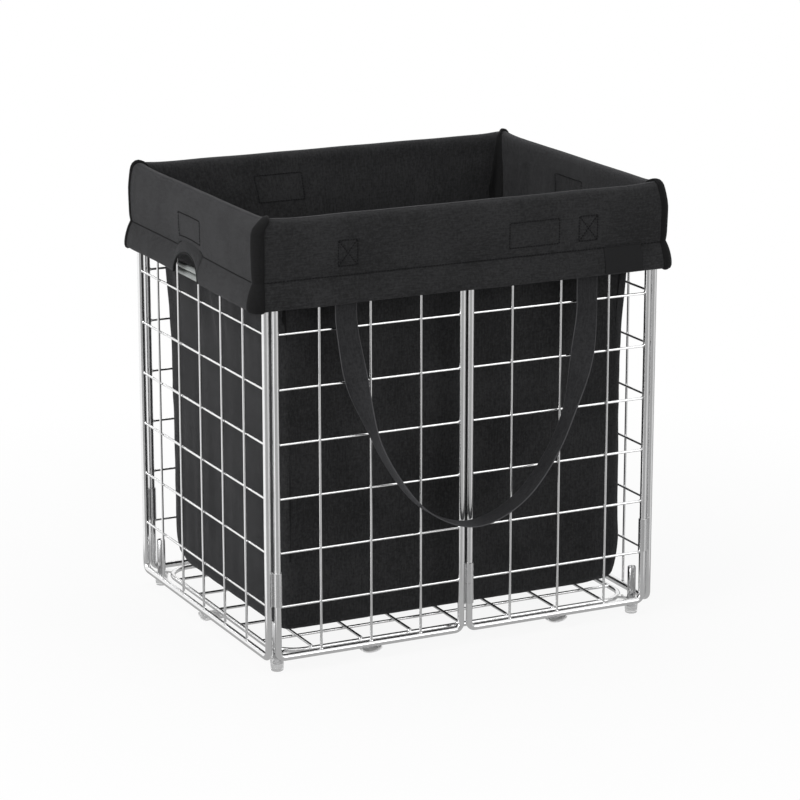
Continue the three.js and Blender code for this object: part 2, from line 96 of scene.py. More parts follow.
# Base
BASE_HEIGHT = 18.6 * MM
BASE_BAR = 3 * MM
BASE_WIRE = 1.75 * MM
BASE_INSET = 17.5 * MM
BASE_RADIUS = 35 * MM
CROSS_HEIGHT = 22.95 * MM
LONG_HEIGHT = 19.85 * MM
SOCKET_INSET = 15 * MM
SOCKET = 5 * MM
SOCKET_WALL = 1 * MM
SOCKET_TOP = 58 * MM
FOOT_FLOOR = 8.5 * MM
FOOT_HEIGHT = 15 * MM
FOOT_TOP = 8 * MM
FOOT_BOTTOM = 7 * MM
CRADLE_HALF = 13 * MM
CRADLE_DROP = 5.5 * MM
CRADLE_SHEET = 1.2 * MM
CRADLE_TOP = 15.3 * MM
CRADLE_EASE = 0.35 * MM
LUG_HALF_WIDTH = 4 * MM
LUG_HALF_HEIGHT = 1.5 * MM
LUG_EASE = 0.5 * MM
BASE_END_WELD = (2.4 * MM, 2.2 * MM, 1.5 * MM)
BASE_CROSS_WELD = (2.2 * MM, 2.2 * MM, 1.7 * MM)

# Liner
CUFF_RADIUS = 12 * MM
LEAF = 7.9 * MM
CUFF_BOTTOM = 424.3 * MM
CUFF_TOP = 523.7 * MM
HEM_LINE = 455.5 * MM
ARCH_HALF = 38 * MM
ARCH_HEIGHT = 28 * MM
ARCH_REACH = 472 * MM
ARCH_LEAF = 6.9 * MM
BINDING_HALF = 8.5 * MM
BAG_INSET = 20.6 * MM
BAG_RADIUS = 18 * MM
BAG_BOTTOM = 39.6 * MM
BAG_EDGE = 9 * MM
BAG_SHOULDER = 431 * MM
BAG_RIM = 516.5 * MM
BAG_RIM_INSET = 9.4 * MM
BAG_RIM_RADIUS = 3 * MM
BAG_TURN = 25 * MM
BAG_MOUTH_INSET = 15 * MM
STRAP_HALF = 13.5 * MM
STRAP_THICK = 1.3 * MM
STRAP_SPREAD = 153 * MM
STRAP_TOP = 490 * MM
STRAP_LOW = 152 * MM
STRAP_OUT = 20 * MM
STRAP_FLAT = 5 * MM
STRAP_EDGE = 0.45 * MM
LABEL_PLACE = 197 * MM
LABEL_HALF = 24 * MM

# Sewing
STITCH_RADIUS = 0.75 * MM
STITCH_PITCH = 3.4 * MM
STITCH_SHARE = 0.74
HEM_PITCH = 3.6 * MM
HEM_STITCH = 2.7 * MM
STITCH_LOW, STITCH_HIGH = 466.5 * MM, 495.5 * MM
FRONT_BOX = (49.5 * MM, 114.6 * MM)
CROSSED_BOX_PLACE = 151.7 * MM
CROSSED_BOX_HALF = 11.7 * MM
SIDE_BOX = (-32.5 * MM, 32.5 * MM)
BAG_FRONT_BOX = (38.3 * MM, 101.5 * MM)
BAG_BOX_LOW, BAG_BOX_HIGH = 467 * MM, 499 * MM

# The cloth's simulation
HANG_FRAMES = 22
HANG_REACH = 5 * MM
HANG_SETTINGS = {
    "quality": 6, "mass": 0.25, "tension_stiffness": 25, "compression_stiffness": 25, "shear_stiffness": 12,
    "bending_stiffness": 8.0, "air_damping": 2, "vertex_group_mass": "pinned",
    "shrink_min": -0.012, "shrink_max": -0.012,
}

CORNERS = {"front_left": (-1, -1), "front_right": (1, -1), "back_left": (-1, 1), "back_right": (1, 1)}


# Meshes

class Shape:
    """Points, faces, face UVs and material numbers gathered for one mesh."""

    def __init__(self):
        self.points = []
        self.faces = []
        self.uvs = []
        self.kinds = []
        self.normals = {}

    def add(self, points, faces, uvs, kind=0):
        start = len(self.points)
        self.points.extend((float(p[0]), float(p[1]), float(p[2])) for p in points)
        self.faces.extend([start + corner for corner in face] for face in faces)
        self.uvs.extend(uvs)
        self.kinds.extend([kind] * len(faces))
        return start

    def grid(self, rows, around=False, closed=False, us=None, vs=None, kind=0):
        """Skins rows of points. around joins each row's ends, closed joins the last row to the first."""
        high, wide = len(rows), len(rows[0])
        us = us if us is not None else np.arange(high + 1) * UV_STEP
        vs = vs if vs is not None else np.arange(wide + 1) * UV_STEP
        faces, uvs = [], []
        for row in range(high if closed else high - 1):
            below = ((row + 1) % high) * wide
            for column in range(wide if around else wide - 1):
                beside = (column + 1) % wide
                faces.append((row * wide + column, row * wide + beside, below + beside, below + column))
                uvs.append((
                    (us[row], vs[column]), (us[row], vs[column + 1]),
                    (us[row + 1], vs[column + 1]), (us[row + 1], vs[column]),
                ))
        return self.add([p for row in rows for p in row], faces, uvs, kind)

    def close(self, corners):
        """One face between points that are already there."""
        corners = list(corners)
        self.faces.append(corners)
        self.uvs.append([(0.0, 0.0)] * len(corners))
        self.kinds.append(0)

    def tube(self, rows, us=None, vs=None):
        """Skins rings of points and closes both ends."""
        wide = len(rows[0])
        start = self.grid(rows, around=True, us=us, vs=vs)
        for row in (0, len(rows) - 1):
            self.close(range(start + row * wide, start + (row + 1) * wide))

    def moved(self, matrix):
        self.points = [tuple(matrix @ Vector(p)) for p in self.points]
        return self

    def join(self, other):
        self.add(other.points, other.faces, other.uvs)

    def made(self, name, materials, sharp=40.0, tidy=True):
        mesh = bpy.data.meshes.new(name)
        mesh.from_pydata(self.points, [], self.faces)
        layer = mesh.uv_layers.new(name="UVMap")
        flat = [value for face in self.uvs for uv in face for value in uv]
        layer.data.foreach_set("uv", np.array(flat, dtype=np.float32))
        for material in materials:
            mesh.materials.append(material)
        mesh.polygons.foreach_set("material_index", self.kinds)
        mesh.polygons.foreach_set("use_smooth", [True] * len(self.faces))
        if tidy:
            working = bmesh.new()
            working.from_mesh(mesh)
            bmesh.ops.remove_doubles(working, verts=working.verts, dist=MERGE_DISTANCE)
            bmesh.ops.recalc_face_normals(working, faces=working.faces)
            working.to_mesh(mesh)
            working.free()
        mesh.set_sharp_from_angle(angle=math.radians(sharp))
        if self.normals and not tidy:
            custom = [self.normals.get(index, (0.0, 0.0, 0.0)) for index in range(len(self.points))]
            mesh.normals_split_custom_set_from_vertices(custom)
        mesh.update()
        piece = bpy.data.objects.new(name, mesh)
        bpy.context.scene.collection.objects.link(piece)
        return piece


def clamped(value):
    return min(max(value, 0.0), 1.0)


def eased(value):
    value = clamped(value)
    return value * value * (3 - 2 * value)


def lengths(points):
    """Running length along a list of points."""
    runs = [0.0]
    for first, second in zip(points, points[1:]):
        runs.append(runs[-1] + (Vector(second) - Vector(first)).length)
    return runs


def heading(line, index):
    """The direction of a line at one of its points."""
    return (line[min(index + 1, len(line) - 1)] - line[max(index - 1, 0)]).normalized()


def circle(count):
    """Evenly spaced angles of a whole turn."""
    return np.linspace(0, 2 * math.pi, count, endpoint=False)


def ring(centre, side, out, radius, count):
    """A circle of points round centre, from side towards out."""
    return [centre + (side * math.cos(t) + out * math.sin(t)) * radius for t in circle(count)]


def sweep(shape, path, radius, sides, across, closed=False):
    """A round bar along a path in one plane; across is square to that plane."""
    path = [Vector(p) for p in path]
    across = Vector(across).normalized()
    count = len(path)
    rows, us, run = [], [], 0.0
    for index, point in enumerate(path):
        before = path[index - 1] if closed or index else point
        after = path[(index + 1) % count] if closed or index < count - 1 else point
        side = across.cross((after - before).normalized()).normalized()
        rows.append(ring(point, side, across, radius, sides))
        us.append(run)
        run += (path[(index + 1) % count] - point).length
    us.append(run)
    vs = np.linspace(0, 2 * math.pi * radius, sides + 1)
    if closed:
        shape.grid(rows, around=True, closed=True, us=us, vs=vs)
    else:
        shape.tube(rows, us, vs)


def rod(shape, low, high, radius):
    low, high = Vector(low), Vector(high)
    along = (high - low).normalized()
    across = Vector((0, 0, 1)) if abs(along.z) < 0.9 else Vector((0, 1, 0))
    sweep(shape, [low, (low + high) / 2, high], radius, WIRE_SIDES, across)


def lathe(shape, profile, x, y, sides, closed):
    """Turns a profile of (radius, height) round the vertical through x, y."""
    rows = [[(x + r * math.cos(t), y + r * math.sin(t), z) for t in circle(sides)] for r, z in profile]
    shape.grid(rows, around=True, closed=closed)


def arc(centre, radius, start, end, steps):
    """Points (a, b) on an arc between two angles in degrees."""
    turns = np.radians(np.linspace(start, end, steps + 1))
    return [(centre[0] + radius * math.cos(t), centre[1] + radius * math.sin(t)) for t in turns]


def loop_path(half, low, high, radius, steps=8):
    """A rounded rectangle as (a, b) points, counterclockwise."""
    points = []
    for a, b, start in ((1, 1, 0), (-1, 1, 90), (-1, -1, 180), (1, -1, 270)):
        centre = (a * (half - radius), (high - radius) if b > 0 else (low + radius))
        points += arc(centre, radius, start, start + 90, steps)
    return points


def nugget(shape, centre, size):
    """A small rounded lump of weld."""
    x, y, z = centre
    wide, deep, high = size
    rows = []
    for lift in np.radians(np.linspace(-80, 80, 5)):
        part, rise = math.cos(lift), math.sin(lift)
        rows.append([
            (x + wide * part * math.cos(t), y + deep * part * math.sin(t), z + high * rise) for t in circle(8)
        ])
    shape.tube(rows)


def wall_matrix(turns, along=0.0):
    """From a wall's own axes (x along it, -y out of it) to the row frame; turns 0 is the front."""
    angle = turns * math.pi / 2
    distance = HALF_DEPTH if turns % 2 == 0 else HALF_WIDTH
    place = Matrix.Translation((distance * math.sin(angle), -distance * math.cos(angle), 0))
    return place @ Matrix.Rotation(angle, 4, "Z") @ Matrix.Translation((along, 0, 0))


# Materials

def node_material(name):
    material = bpy.data.materials.new(name)
    material.use_nodes = True
    tree = material.node_tree
    return material, tree, tree.nodes["Principled BSDF"]


def feed(tree, socket, value):
    """Links a socket to another one, or sets its value."""
    if isinstance(value, bpy.types.NodeSocket):
        tree.links.new(value, socket)
    else:
        socket.default_value = value


def add_node(tree, kind, inputs=None, **settings):
    node = tree.nodes.new(kind)
    for key, value in settings.items():
        setattr(node, key, value)
    for key, value in (inputs or {}).items():
        feed(tree, node.inputs[key], value)
    return node


def maths(tree, operation, *values):
    return add_node(tree, "ShaderNodeMath", dict(enumerate(values)), operation=operation).outputs[0]


def ramped(tree, value, low, high, start, end):
    node = add_node(tree, "ShaderNodeMapRange", {
        "Value": value, "From Min": low, "From Max": high, "To Min": start, "To Max": end,
    })
    return node.outputs["Result"]


def mixed(tree, share, first, second):
    node = add_node(tree, "ShaderNodeMix", {"Factor": share, 6: first, 7: second}, data_type="RGBA")
    return node.outputs[2]


def grey(level, blue=0.0):
    return (level, level, level + blue, 1)


def speckle(tree, scale, detail=3.0, stretch=(1, 1, 1), source="Object", roughness=0.55):
    """Smooth noise in the object's own space, or along the cloth where source is UV."""
    where = add_node(tree, "ShaderNodeTexCoord").outputs[source]
    spread = add_node(tree, "ShaderNodeMapping", {"Vector": where, "Scale": stretch}).outputs["Vector"]
    return add_node(tree, "ShaderNodeTexNoise", {
        "Vector": spread, "Scale": scale, "Detail": detail, "Roughness": roughness,
    }).outputs["Fac"]


def finish_shader(tree, shader, tint, rough, height, distance, strength):
    """Gives a shader its colour, roughness and bump."""
    bump = add_node(tree, "ShaderNodeBump", {"Height": height, "Distance": distance, "Strength": strength})
    for name, value in (("Base Color", tint), ("Roughness", rough), ("Normal", bump.outputs["Normal"])):
        feed(tree, shader.inputs[name], value)


def steel(name, light, dark, smooth, rough, drawn, metallic=1.0):
    """Plated steel: a faintly cloudy tint, uneven polish and fine lines along the vertical."""
    material, tree, shader = node_material(name)
    shader.inputs["Metallic"].default_value = metallic
    cloud = speckle(tree, 28.0, 3.0)
    fine = speckle(tree, 1300.0, 2.0, stretch=(1, 1, drawn))
    shade = maths(tree, "MULTIPLY_ADD", fine, 0.35, maths(tree, "MULTIPLY", cloud, 0.65))
    tint = mixed(tree, ramped(tree, shade, 0.35, 0.65, 0.0, 1.0), light, dark)
    finish_shader(tree, shader, tint, ramped(tree, shade, 0.3, 0.7, smooth, rough), fine, 0.02 * MM, 0.3)
    return material


chrome = steel("satin_chrome", grey(0.90, 0.002), grey(0.84, 0.003), smooth=0.15, rough=0.21, drawn=0.2)
sheet = steel("rolled_sheet", grey(0.80, 0.003), grey(0.70, 0.004), smooth=0.22, rough=0.32, drawn=0.05)
pressed = steel("pressed_sheet", grey(0.96), grey(0.88), smooth=0.35, rough=0.5, drawn=0.6, metallic=0.1)
dull = steel("tube_steel", grey(0.66, 0.004), grey(0.50, 0.004), smooth=0.2, rough=0.3, drawn=0.1)


def wrap_material():
    """A grey-green woven sleeve: two sets of threads crossing on the slant."""
    material, tree, shader = node_material("grip_weave")
    uv = add_node(tree, "ShaderNodeTexCoord").outputs["UV"]
    parts = add_node(tree, "ShaderNodeSeparateXYZ", {"Vector": uv})
    count = 2 * math.pi / GRIP_THREAD
    threads = []
    for slant in ("ADD", "SUBTRACT"):
        place = maths(tree, slant, parts.outputs["X"], parts.outputs["Y"])
        threads.append(maths(tree, "SINE", maths(tree, "MULTIPLY", place, count)))
    lift = ramped(tree, maths(tree, "MULTIPLY", *threads), -1.0, 1.0, 0.0, 1.0)
    grain = speckle(tree, 1400.0, 2.0)
    shade = maths(tree, "MULTIPLY_ADD", grain, 0.3, maths(tree, "MULTIPLY", lift, 0.7))
    tint = mixed(tree, shade, (0.09, 0.098, 0.094, 1), (0.58, 0.61, 0.595, 1))
    finish_shader(tree, shader, tint, ramped(tree, grain, 0.3, 0.7, 0.5, 0.72), lift, 0.35 * MM, 0.9)
    return material


def clear_material():
    """Clear moulded plastic with faint flow lines and a slightly uneven polish."""
    material, tree, shader = node_material("clear_foot")
    shader.inputs["Transmission Weight"].default_value = 1.0
    shader.inputs["IOR"].default_value = 1.28
    cloud = speckle(tree, 160.0, 3.0, stretch=(1, 1, 2.5))
    tint = mixed(tree, cloud, grey(0.998), (0.965, 0.967, 0.97, 1))
    finish_shader(tree, shader, tint, ramped(tree, cloud, 0.3, 0.7, 0.01, 0.05), cloud, 0.03 * MM, 0.3)
    return material


def cloth_material(name, dark, light, thread, lift, sheen, painted_edge_highlight=False, shine=0.25):
    """A plain weave along the cloth's UV lengths, with slubs, wear and a soft sheen."""
    material, tree, shader = node_material(name)
    shader.inputs["Sheen Weight"].default_value = sheen
    shader.inputs["Sheen Roughness"].default_value = 0.45
    shader.inputs["Sheen Tint"].default_value = (0.75, 0.76, 0.8, 1)
    shader.inputs["Specular IOR Level"].default_value = shine
    uv = add_node(tree, "ShaderNodeTexCoord").outputs["UV"]
    parts = add_node(tree, "ShaderNodeSeparateXYZ", {"Vector": uv})
    count = 2 * math.pi / thread
    over, under = (maths(tree, "SINE", maths(tree, "MULTIPLY", parts.outputs[axis], count)) for axis in "XY")
    weave = ramped(tree, maths(tree, "MULTIPLY", over, under), -1.0, 1.0, 0.0, 1.0)
    slub = speckle(tree, 300.0, 4.0, stretch=(0.3, 1.9, 1), source="UV")
    warp = speckle(tree, 300.0, 3.0, stretch=(1.1, 0.7, 1), source="UV")
    wear = speckle(tree, 14.0, 4.0)
    grain = speckle(tree, 380.0, 2.0, roughness=0.7)
    threads = maths(tree, "MULTIPLY_ADD", warp, 0.25, maths(tree, "MULTIPLY", grain, 0.35))
    threads = maths(tree, "MULTIPLY_ADD", slub, 0.4, threads)
    shade = maths(tree, "ADD", maths(tree, "MULTIPLY", threads, 0.67), maths(tree, "MULTIPLY", wear, 0.18))
    shade = ramped(tree, maths(tree, "MULTIPLY_ADD", weave, 0.15, shade), 0.43, 0.57, 0.0, 1.0)
    tint = mixed(tree, shade, dark, light)
    if painted_edge_highlight:
        # Painted highlight: the webbing's edges are painted paler, standing in for the light caught along the
        # strap's edges
        edge = maths(tree, "ABSOLUTE", parts.outputs["Y"])
        line = ramped(tree, edge, STRAP_HALF - 1.3 * MM, STRAP_HALF - 0.5 * MM, 0.0, 0.7)
        tint = mixed(tree, line, tint, grey(0.10, 0.005))
    height = maths(tree, "MULTIPLY_ADD", weave, 0.5, maths(tree, "MULTIPLY", threads, 0.5))
    finish_shader(tree, shader, tint, ramped(tree, threads, 0.3, 0.7, 0.72, 0.92), height, lift, 0.8)
    return material


def thread_material():
    """Sewing thread: a fine twist that hardly shines."""
    material, tree, shader = node_material("sewing_thread")
    shader.inputs["Specular IOR Level"].default_value = 0.12
    twist = speckle(tree, 2600.0, 2.0)
    tint = mixed(tree, twist, grey(0.004, 0.0005), grey(0.011, 0.001))
    finish_shader(tree, shader, tint, ramped(tree, twist, 0.3, 0.7, 0.5, 0.7), twist, 0.05 * MM, 0.5)
    return material


grip_wrap = wrap_material()
clear = clear_material()
cloth = cloth_material(
    "black_cloth", grey(0.0055, 0.0005), grey(0.0335, 0.0015), thread=0.9 * MM, lift=0.5 * MM, sheen=0.08,
)
# The webbing's paler edges are a painted highlight
webbing = cloth_material(
    "black_webbing", grey(0.008, 0.001), grey(0.031, 0.002), thread=1.3 * MM, lift=0.3 * MM, sheen=0.1,
    painted_edge_highlight=True,
)
patch = cloth_material(
    "woven_patch", grey(0.007, 0.0005), grey(0.013, 0.001), thread=0.6 * MM, lift=0.06 * MM, sheen=0.05,
)
binding = cloth_material(
    "corner_binding", grey(0.003), grey(0.0085, 0.0005), thread=0.7 * MM, lift=0.15 * MM, sheen=0.06,
    shine=0.15,
)
thread = thread_material()


# Cage

def wire_panel(half, uprights, trimmed, handle):
    """One welded panel, x along it and -y out of it; trimmed leaves room for saddles at its left end."""
    shape = Shape()
    path = [(a, 0, b) for a, b in loop_path(half, LOW_RAIL, TOP_RAIL, BEND)]
    sweep(shape, path, BAR, BAR_SIDES, (0, 1, 0), closed=True)
    rows = [FIRST_ROW + row * PITCH for row in range(ROWS)]
    cut = PITCH + WIRE
    for height in rows:
        clipped = trimmed and height in (rows[0], rows[-1])
        left = CLIP_OUTER + GAP - half if clipped else -half
        spans = [(left, -cut), (cut, half)] if handle and height == rows[-1] else [(left, half)]
        for low, high in spans:
            rod(shape, (low, WELD, height), (high, WELD, height), WIRE)
    for upright in range(uprights):
        place = (upright - (uprights - 1) / 2) * PITCH
        broken = handle and place == 0
        top = GRIP_HEIGHTS[0] - GRIP - GAP if broken else TOP_RAIL
        rod(shape, (place, -WELD, LOW_RAIL), (place, -WELD, top), WIRE)
        for height in rows[:-1] if broken else rows:
            nugget(shape, (place, 0, height), CROSS_WELD)
        for height in (LOW_RAIL + BAR, TOP_RAIL - BAR)[:1 if broken else 2]:
            nugget(shape, (place, -WELD, height), RAIL_WELD)
    for height in rows:
        for end in (-1, 1):
            nugget(shape, (end * (half - BAR), WELD, height), POST_WELD)
    if handle:
        for height in GRIP_HEIGHTS:
            rod(shape, (-cut, WELD, height), (cut, WELD, height), WIRE)
    return shape


HALF_PANEL = (HALF_WIDTH - FRONT_POST_INSET - CENTRE_SPACING / 2) / 2
HALF_PLACE = (HALF_WIDTH - FRONT_POST_INSET + CENTRE_SPACING / 2) / 2
SIDE_HALF = HALF_DEPTH - SIDE_POST_INSET


def dress(piece, body, node):
    """Attaches a piece to the body it moves with and hides the imported node that it takes the place of."""
    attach(piece, body)
    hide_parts(node)


PANELS = (
    ("front_left", 0, -1, HALF_PANEL, "front_left"),
    ("front_right", 0, 1, HALF_PANEL, "front_right"),
    ("back_right", 2, -1, HALF_PANEL, "back_right"),
    ("back_left", 2, 1, HALF_PANEL, "back_left"),
    ("left", 3, 0, SIDE_HALF, "left_side"),
    ("right", 1, 0, SIDE_HALF, "right_side"),
)
for name, turns, hand, half, body in PANELS:
    side = hand == 0
    shape = wire_panel(half, 5 if side else 3, hand == 1, side).moved(wall_matrix(turns, hand * HALF_PLACE))
    dress(shape.made(name + "_wirework", [chrome]), body, name + "_panel")


def grip_sleeve(height):
    """A woven sleeve with rounded ends round one handle wire."""
    shape = Shape()
    reach = PITCH - WIRE - GAP
    bore = WIRE + GRIP_PLAY
    middle, inner = reach - GRIP_END, GRIP - GRIP_END
    turns = np.linspace(0, math.pi / 2, 6)
    profile = [(bore, GRIP_LIP - reach)]
    profile += [(inner + GRIP_END * math.sin(t), -middle - GRIP_END * math.cos(t)) for t in turns]
    profile += [(GRIP, place) for place in np.linspace(GRIP_END - middle, middle - GRIP_END, 9)]
    profile += [(inner + GRIP_END * math.cos(t), middle + GRIP_END * math.sin(t)) for t in turns]
    profile.append((bore, reach - GRIP_LIP))
    us = lengths([(place, r, 0) for r, place in profile + profile[:1]])
    rows = [
        [(place, WELD + r * math.cos(t), height + r * math.sin(t)) for t in circle(24)]
        for r, place in profile
    ]
    shape.grid(rows, around=True, closed=True, us=us, vs=np.linspace(0, 2 * math.pi * GRIP, 25))
    return shape


for name, turns, body in (("left", 3, "left_side"), ("right", 1, "right_side")):
    for level, height in zip(("lower", "upper"), GRIP_HEIGHTS):
        node = f"grip_{name}_{level}"
        piece = grip_sleeve(height).moved(wall_matrix(turns)).made(node + "_sleeve", [grip_wrap])
        dress(piece, body, node)


# Sheet clips

def strip(shape, line, thick, low, high):
    """A sheet of even thickness that follows a line seen from above, with eased rims."""
    line = [Vector((x, y)) for x, y in line]
    half, ease = thick / 2, thick * 0.3
    section = (
        (half, low + ease), (half - ease, low), (-half + ease, low), (-half, low + ease),
        (-half, high - ease), (-half + ease, high), (half - ease, high), (half, high - ease),
    )
    rows = []
    for index, point in enumerate(line):
        along = heading(line, index)
        rows.append([(point.x + along.y * side, point.y - along.x * side, z) for side, z in section])
    runs = lengths(line)
    shape.tube(rows, us=runs + [runs[-1]])


def sheet_clip(turning, held, low, length):
    """One folded sheet: a full roll round the post at turning and a saddle that clasps the post at held."""
    shape = Shape()
    turning, held = Vector(turning), Vector(held)
    spacing = (held - turning).length
    towards = math.atan2(held.y - turning.y, held.x - turning.x)
    middle = (CLIP_INNER + CLIP_OUTER) / 2
    thick = CLIP_OUTER - CLIP_INNER
    join = math.degrees(math.asin(0.55 * thick / middle))
    upper = [(spacing + x, y) for x, y in arc((0, 0), middle, 180 - SADDLE_TURN, 180 - join, 6)]
    roll = arc((0, 0), middle, join, 360 - join, 40)
    lower = [(spacing + x, y) for x, y in arc((0, 0), middle, 180 + join, 180 + SADDLE_TURN, 6)]
    strip(shape, upper + roll + lower, thick, low, low + length)
    turn = Matrix.Translation((turning.x, turning.y, 0)) @ Matrix.Rotation(towards, 4, "Z")
    return shape.moved(turn)


for name, (sign_x, sign_y) in CORNERS.items():
    turning = (sign_x * (HALF_WIDTH - FRONT_POST_INSET), sign_y * HALF_DEPTH)
    held = (sign_x * HALF_WIDTH, sign_y * (HALF_DEPTH - SIDE_POST_INSET))
    body = "left_side" if sign_x < 0 else "right_side"
    for level, row in (("lower", 0), ("upper", ROWS - 1)):
        low = FIRST_ROW + row * PITCH + WIRE + GAP
        node = f"corner_clip_{name}_{level}"
        piece = sheet_clip(turning, held, low, CLIP_LENGTH).made(node + "_sheet", [sheet], CLIP_SHARP)
        dress(piece, body, node)

for name, turns in (("front", 0), ("back", 2)):
    for number in range(4):
        row, level = divmod(number, 2)
        low = FIRST_ROW + row * (ROWS - 1) * PITCH - CENTRE_CLIP_DROP + level * (CENTRE_CLIP_LENGTH + GAP)
        shape = sheet_clip((CENTRE_SPACING / 2, 0), (-CENTRE_SPACING / 2, 0), low, CENTRE_CLIP_LENGTH)
        node = f"{name}_centre_clip_{number + 1}"
        piece = shape.moved(wall_matrix(turns)).made(node + "_sheet", [sheet], CLIP_SHARP)
        dress(piece, name + "_link", node)


# Base

def base_grid():
    """The wire base on its loop, with a lug to each corner tube."""
    shape = Shape()
    loop_x, loop_y = HALF_WIDTH - BASE_INSET, HALF_DEPTH - BASE_INSET
    path = [(a, b, BASE_HEIGHT) for a, b in loop_path(loop_x, -loop_y, loop_y, BASE_RADIUS, 14)]
    sweep(shape, path, BASE_BAR, 20, (0, 0, 1), closed=True)
    reach = loop_y + BASE_WIRE
    for wire in range(-3, 4):
        x = wire * PITCH
        rod(shape, (x, -reach, CROSS_HEIGHT), (x, reach, CROSS_HEIGHT), BASE_WIRE)
        for end in (-1, 1):
            nugget(shape, (x, end * loop_y, BASE_HEIGHT + BASE_BAR), BASE_END_WELD)
        for along in range(-2, 3):
            nugget(shape, (x, along * PITCH, (CROSS_HEIGHT + LONG_HEIGHT) / 2), BASE_CROSS_WELD)
    for wire in range(-2, 3):
        rod(shape, (-loop_x, wire * PITCH, LONG_HEIGHT), (loop_x, wire * PITCH, LONG_HEIGHT), BASE_WIRE)
    inner = (BASE_INSET + BASE_RADIUS * (1 - math.sqrt(0.5)) - SOCKET_INSET) * math.sqrt(2)
    outer = SOCKET + GAP
    wide, high, ease = LUG_HALF_WIDTH, LUG_HALF_HEIGHT, LUG_EASE
    edge = [(outer, -wide), (inner, -wide), (inner, wide), (outer, wide)]
    for sign_x, sign_y in CORNERS.values():
        lug = Shape()
        lug.tube([
            [(x, y - math.copysign(pull, y), z) for x, y in edge]
            for z, pull in ((-high, ease), (-high + ease, 0), (high - ease, 0), (high, ease))
        ])
        turn = Matrix.Rotation(math.atan2(-sign_y, -sign_x), 4, "Z")
        x, y = sign_x * (HALF_WIDTH - SOCKET_INSET), sign_y * (HALF_DEPTH - SOCKET_INSET)
        shape.join(lug.moved(Matrix.Translation((x, y, BASE_HEIGHT)) @ turn))
    return shape


dress(base_grid().made("base_wirework", [chrome]), "base", "base_grid")

socket_bore, socket_rim, foot_bore = SOCKET - SOCKET_WALL, 0.3 * MM, SOCKET + 0.25 * MM
socket_section = [
    (socket_bore, FOOT_FLOOR + GAP), (SOCKET, FOOT_FLOOR + GAP), (SOCKET, SOCKET_TOP / 2),
    (SOCKET, SOCKET_TOP - socket_rim), (SOCKET - socket_rim, SOCKET_TOP),
    (socket_bore + socket_rim, SOCKET_TOP), (socket_bore, SOCKET_TOP - socket_rim),
    (socket_bore, SOCKET_TOP / 2),
]
# From the middle of the underside round the rim to the middle of the floor inside
foot_section = [
    (0.0, 0.0), (FOOT_BOTTOM - 1.6 * MM, 0.0), (FOOT_BOTTOM - 0.8 * MM, 0.15 * MM),
    (FOOT_BOTTOM - 0.25 * MM, 0.55 * MM), (FOOT_BOTTOM + 0.1 * MM, 1.3 * MM),
    (FOOT_BOTTOM + 0.45 * MM, 6 * MM),
    (FOOT_TOP - 0.1 * MM, 12.5 * MM), (FOOT_TOP, FOOT_HEIGHT - 0.7 * MM),
    (FOOT_TOP - 0.4 * MM, FOOT_HEIGHT - 0.15 * MM), (FOOT_TOP - 1 * MM, FOOT_HEIGHT),
    (foot_bore + 0.5 * MM, FOOT_HEIGHT), (foot_bore, FOOT_HEIGHT - 0.5 * MM), (foot_bore, 12 * MM),
    (foot_bore, FOOT_FLOOR + 0.4 * MM), (foot_bore - 0.4 * MM, FOOT_FLOOR), (0.0, FOOT_FLOOR),
]
for name, (sign_x, sign_y) in CORNERS.items():
    x, y = sign_x * (HALF_WIDTH - SOCKET_INSET), sign_y * (HALF_DEPTH - SOCKET_INSET)
    shape = Shape()
    lathe(shape, socket_section, x, y, 32, closed=True)
    dress(shape.made(f"socket_{name}_tube", [dull], 50), "base", f"socket_{name}")
    shape = Shape()
    lathe(shape, foot_section, x, y, 40, closed=False)
    dress(shape.made(f"foot_{name}_cup", [clear]), "base", f"foot_{name}")


def cradle():
    """A half-round trough of sheet under the bottom rail and the base loop, in the wall's own axes."""
    shape = Shape()
    back = BASE_INSET + BASE_BAR
    ease = CRADLE_EASE
    turns = np.linspace(math.pi, 2 * math.pi, 25)
    section = []
    for scale, order in ((0.0, 1), (CRADLE_SHEET, -1)):
        wide, drop = CRADLE_HALF - scale, CRADLE_DROP - scale
        section += [(wide * math.cos(t), CRADLE_TOP + drop * math.sin(t)) for t in turns[::order]]
    middle = CRADLE_TOP - CRADLE_DROP / 2
    start = shape.grid([
        [(a * (1 - pull / CRADLE_HALF), place, b + (middle - b) * pull / CRADLE_DROP) for a, b in section]
        for place, pull in ((-BAR, ease), (-BAR + ease, 0), (back - ease, 0), (back, ease))
    ], around=True)
    count = len(section)
    for row in (0, 3):
        low, high = start + row * count, start + (row + 1) * count - 1
        for index in range(count // 2 - 1):
            shape.close((low + index, low + index + 1, high - index - 1, high - index))
    return shape


for name, turns, along in (
    ("left", 3, 0), ("right", 1, 0), ("front_left", 0, -HALF_PLACE), ("front_right", 0, HALF_PLACE),
    ("back_right", 2, -HALF_PLACE), ("back_left", 2, HALF_PLACE),
):
    node = "cradle_" + name
    piece = cradle().moved(wall_matrix(turns, along)).made(node + "_trough", [pressed])
    dress(piece, "base", node)


# Cloth: stations round the liner, each a place on a wall or on a corner

def wall_half(wall, offset, radius):
    """Half a wall's straight length at an offset outside the panels' middle planes."""
    return (HALF_WIDTH if wall % 2 == 0 else HALF_DEPTH) + offset - radius


def cuff_half(wall):
    return wall_half(wall, LEAF, CUFF_RADIUS)


def wall_places(half, spacing, marks=()):
    """Places from -half to half along a wall, about evenly spaced, with an exact place at each mark."""
    stops = sorted({-half, half, *marks})
    places = []
    for first, second in zip(stops, stops[1:]):
        count = max(1, round((second - first) / spacing))
        places += list(np.linspace(first, second, count, endpoint=False))
    return places + [half]


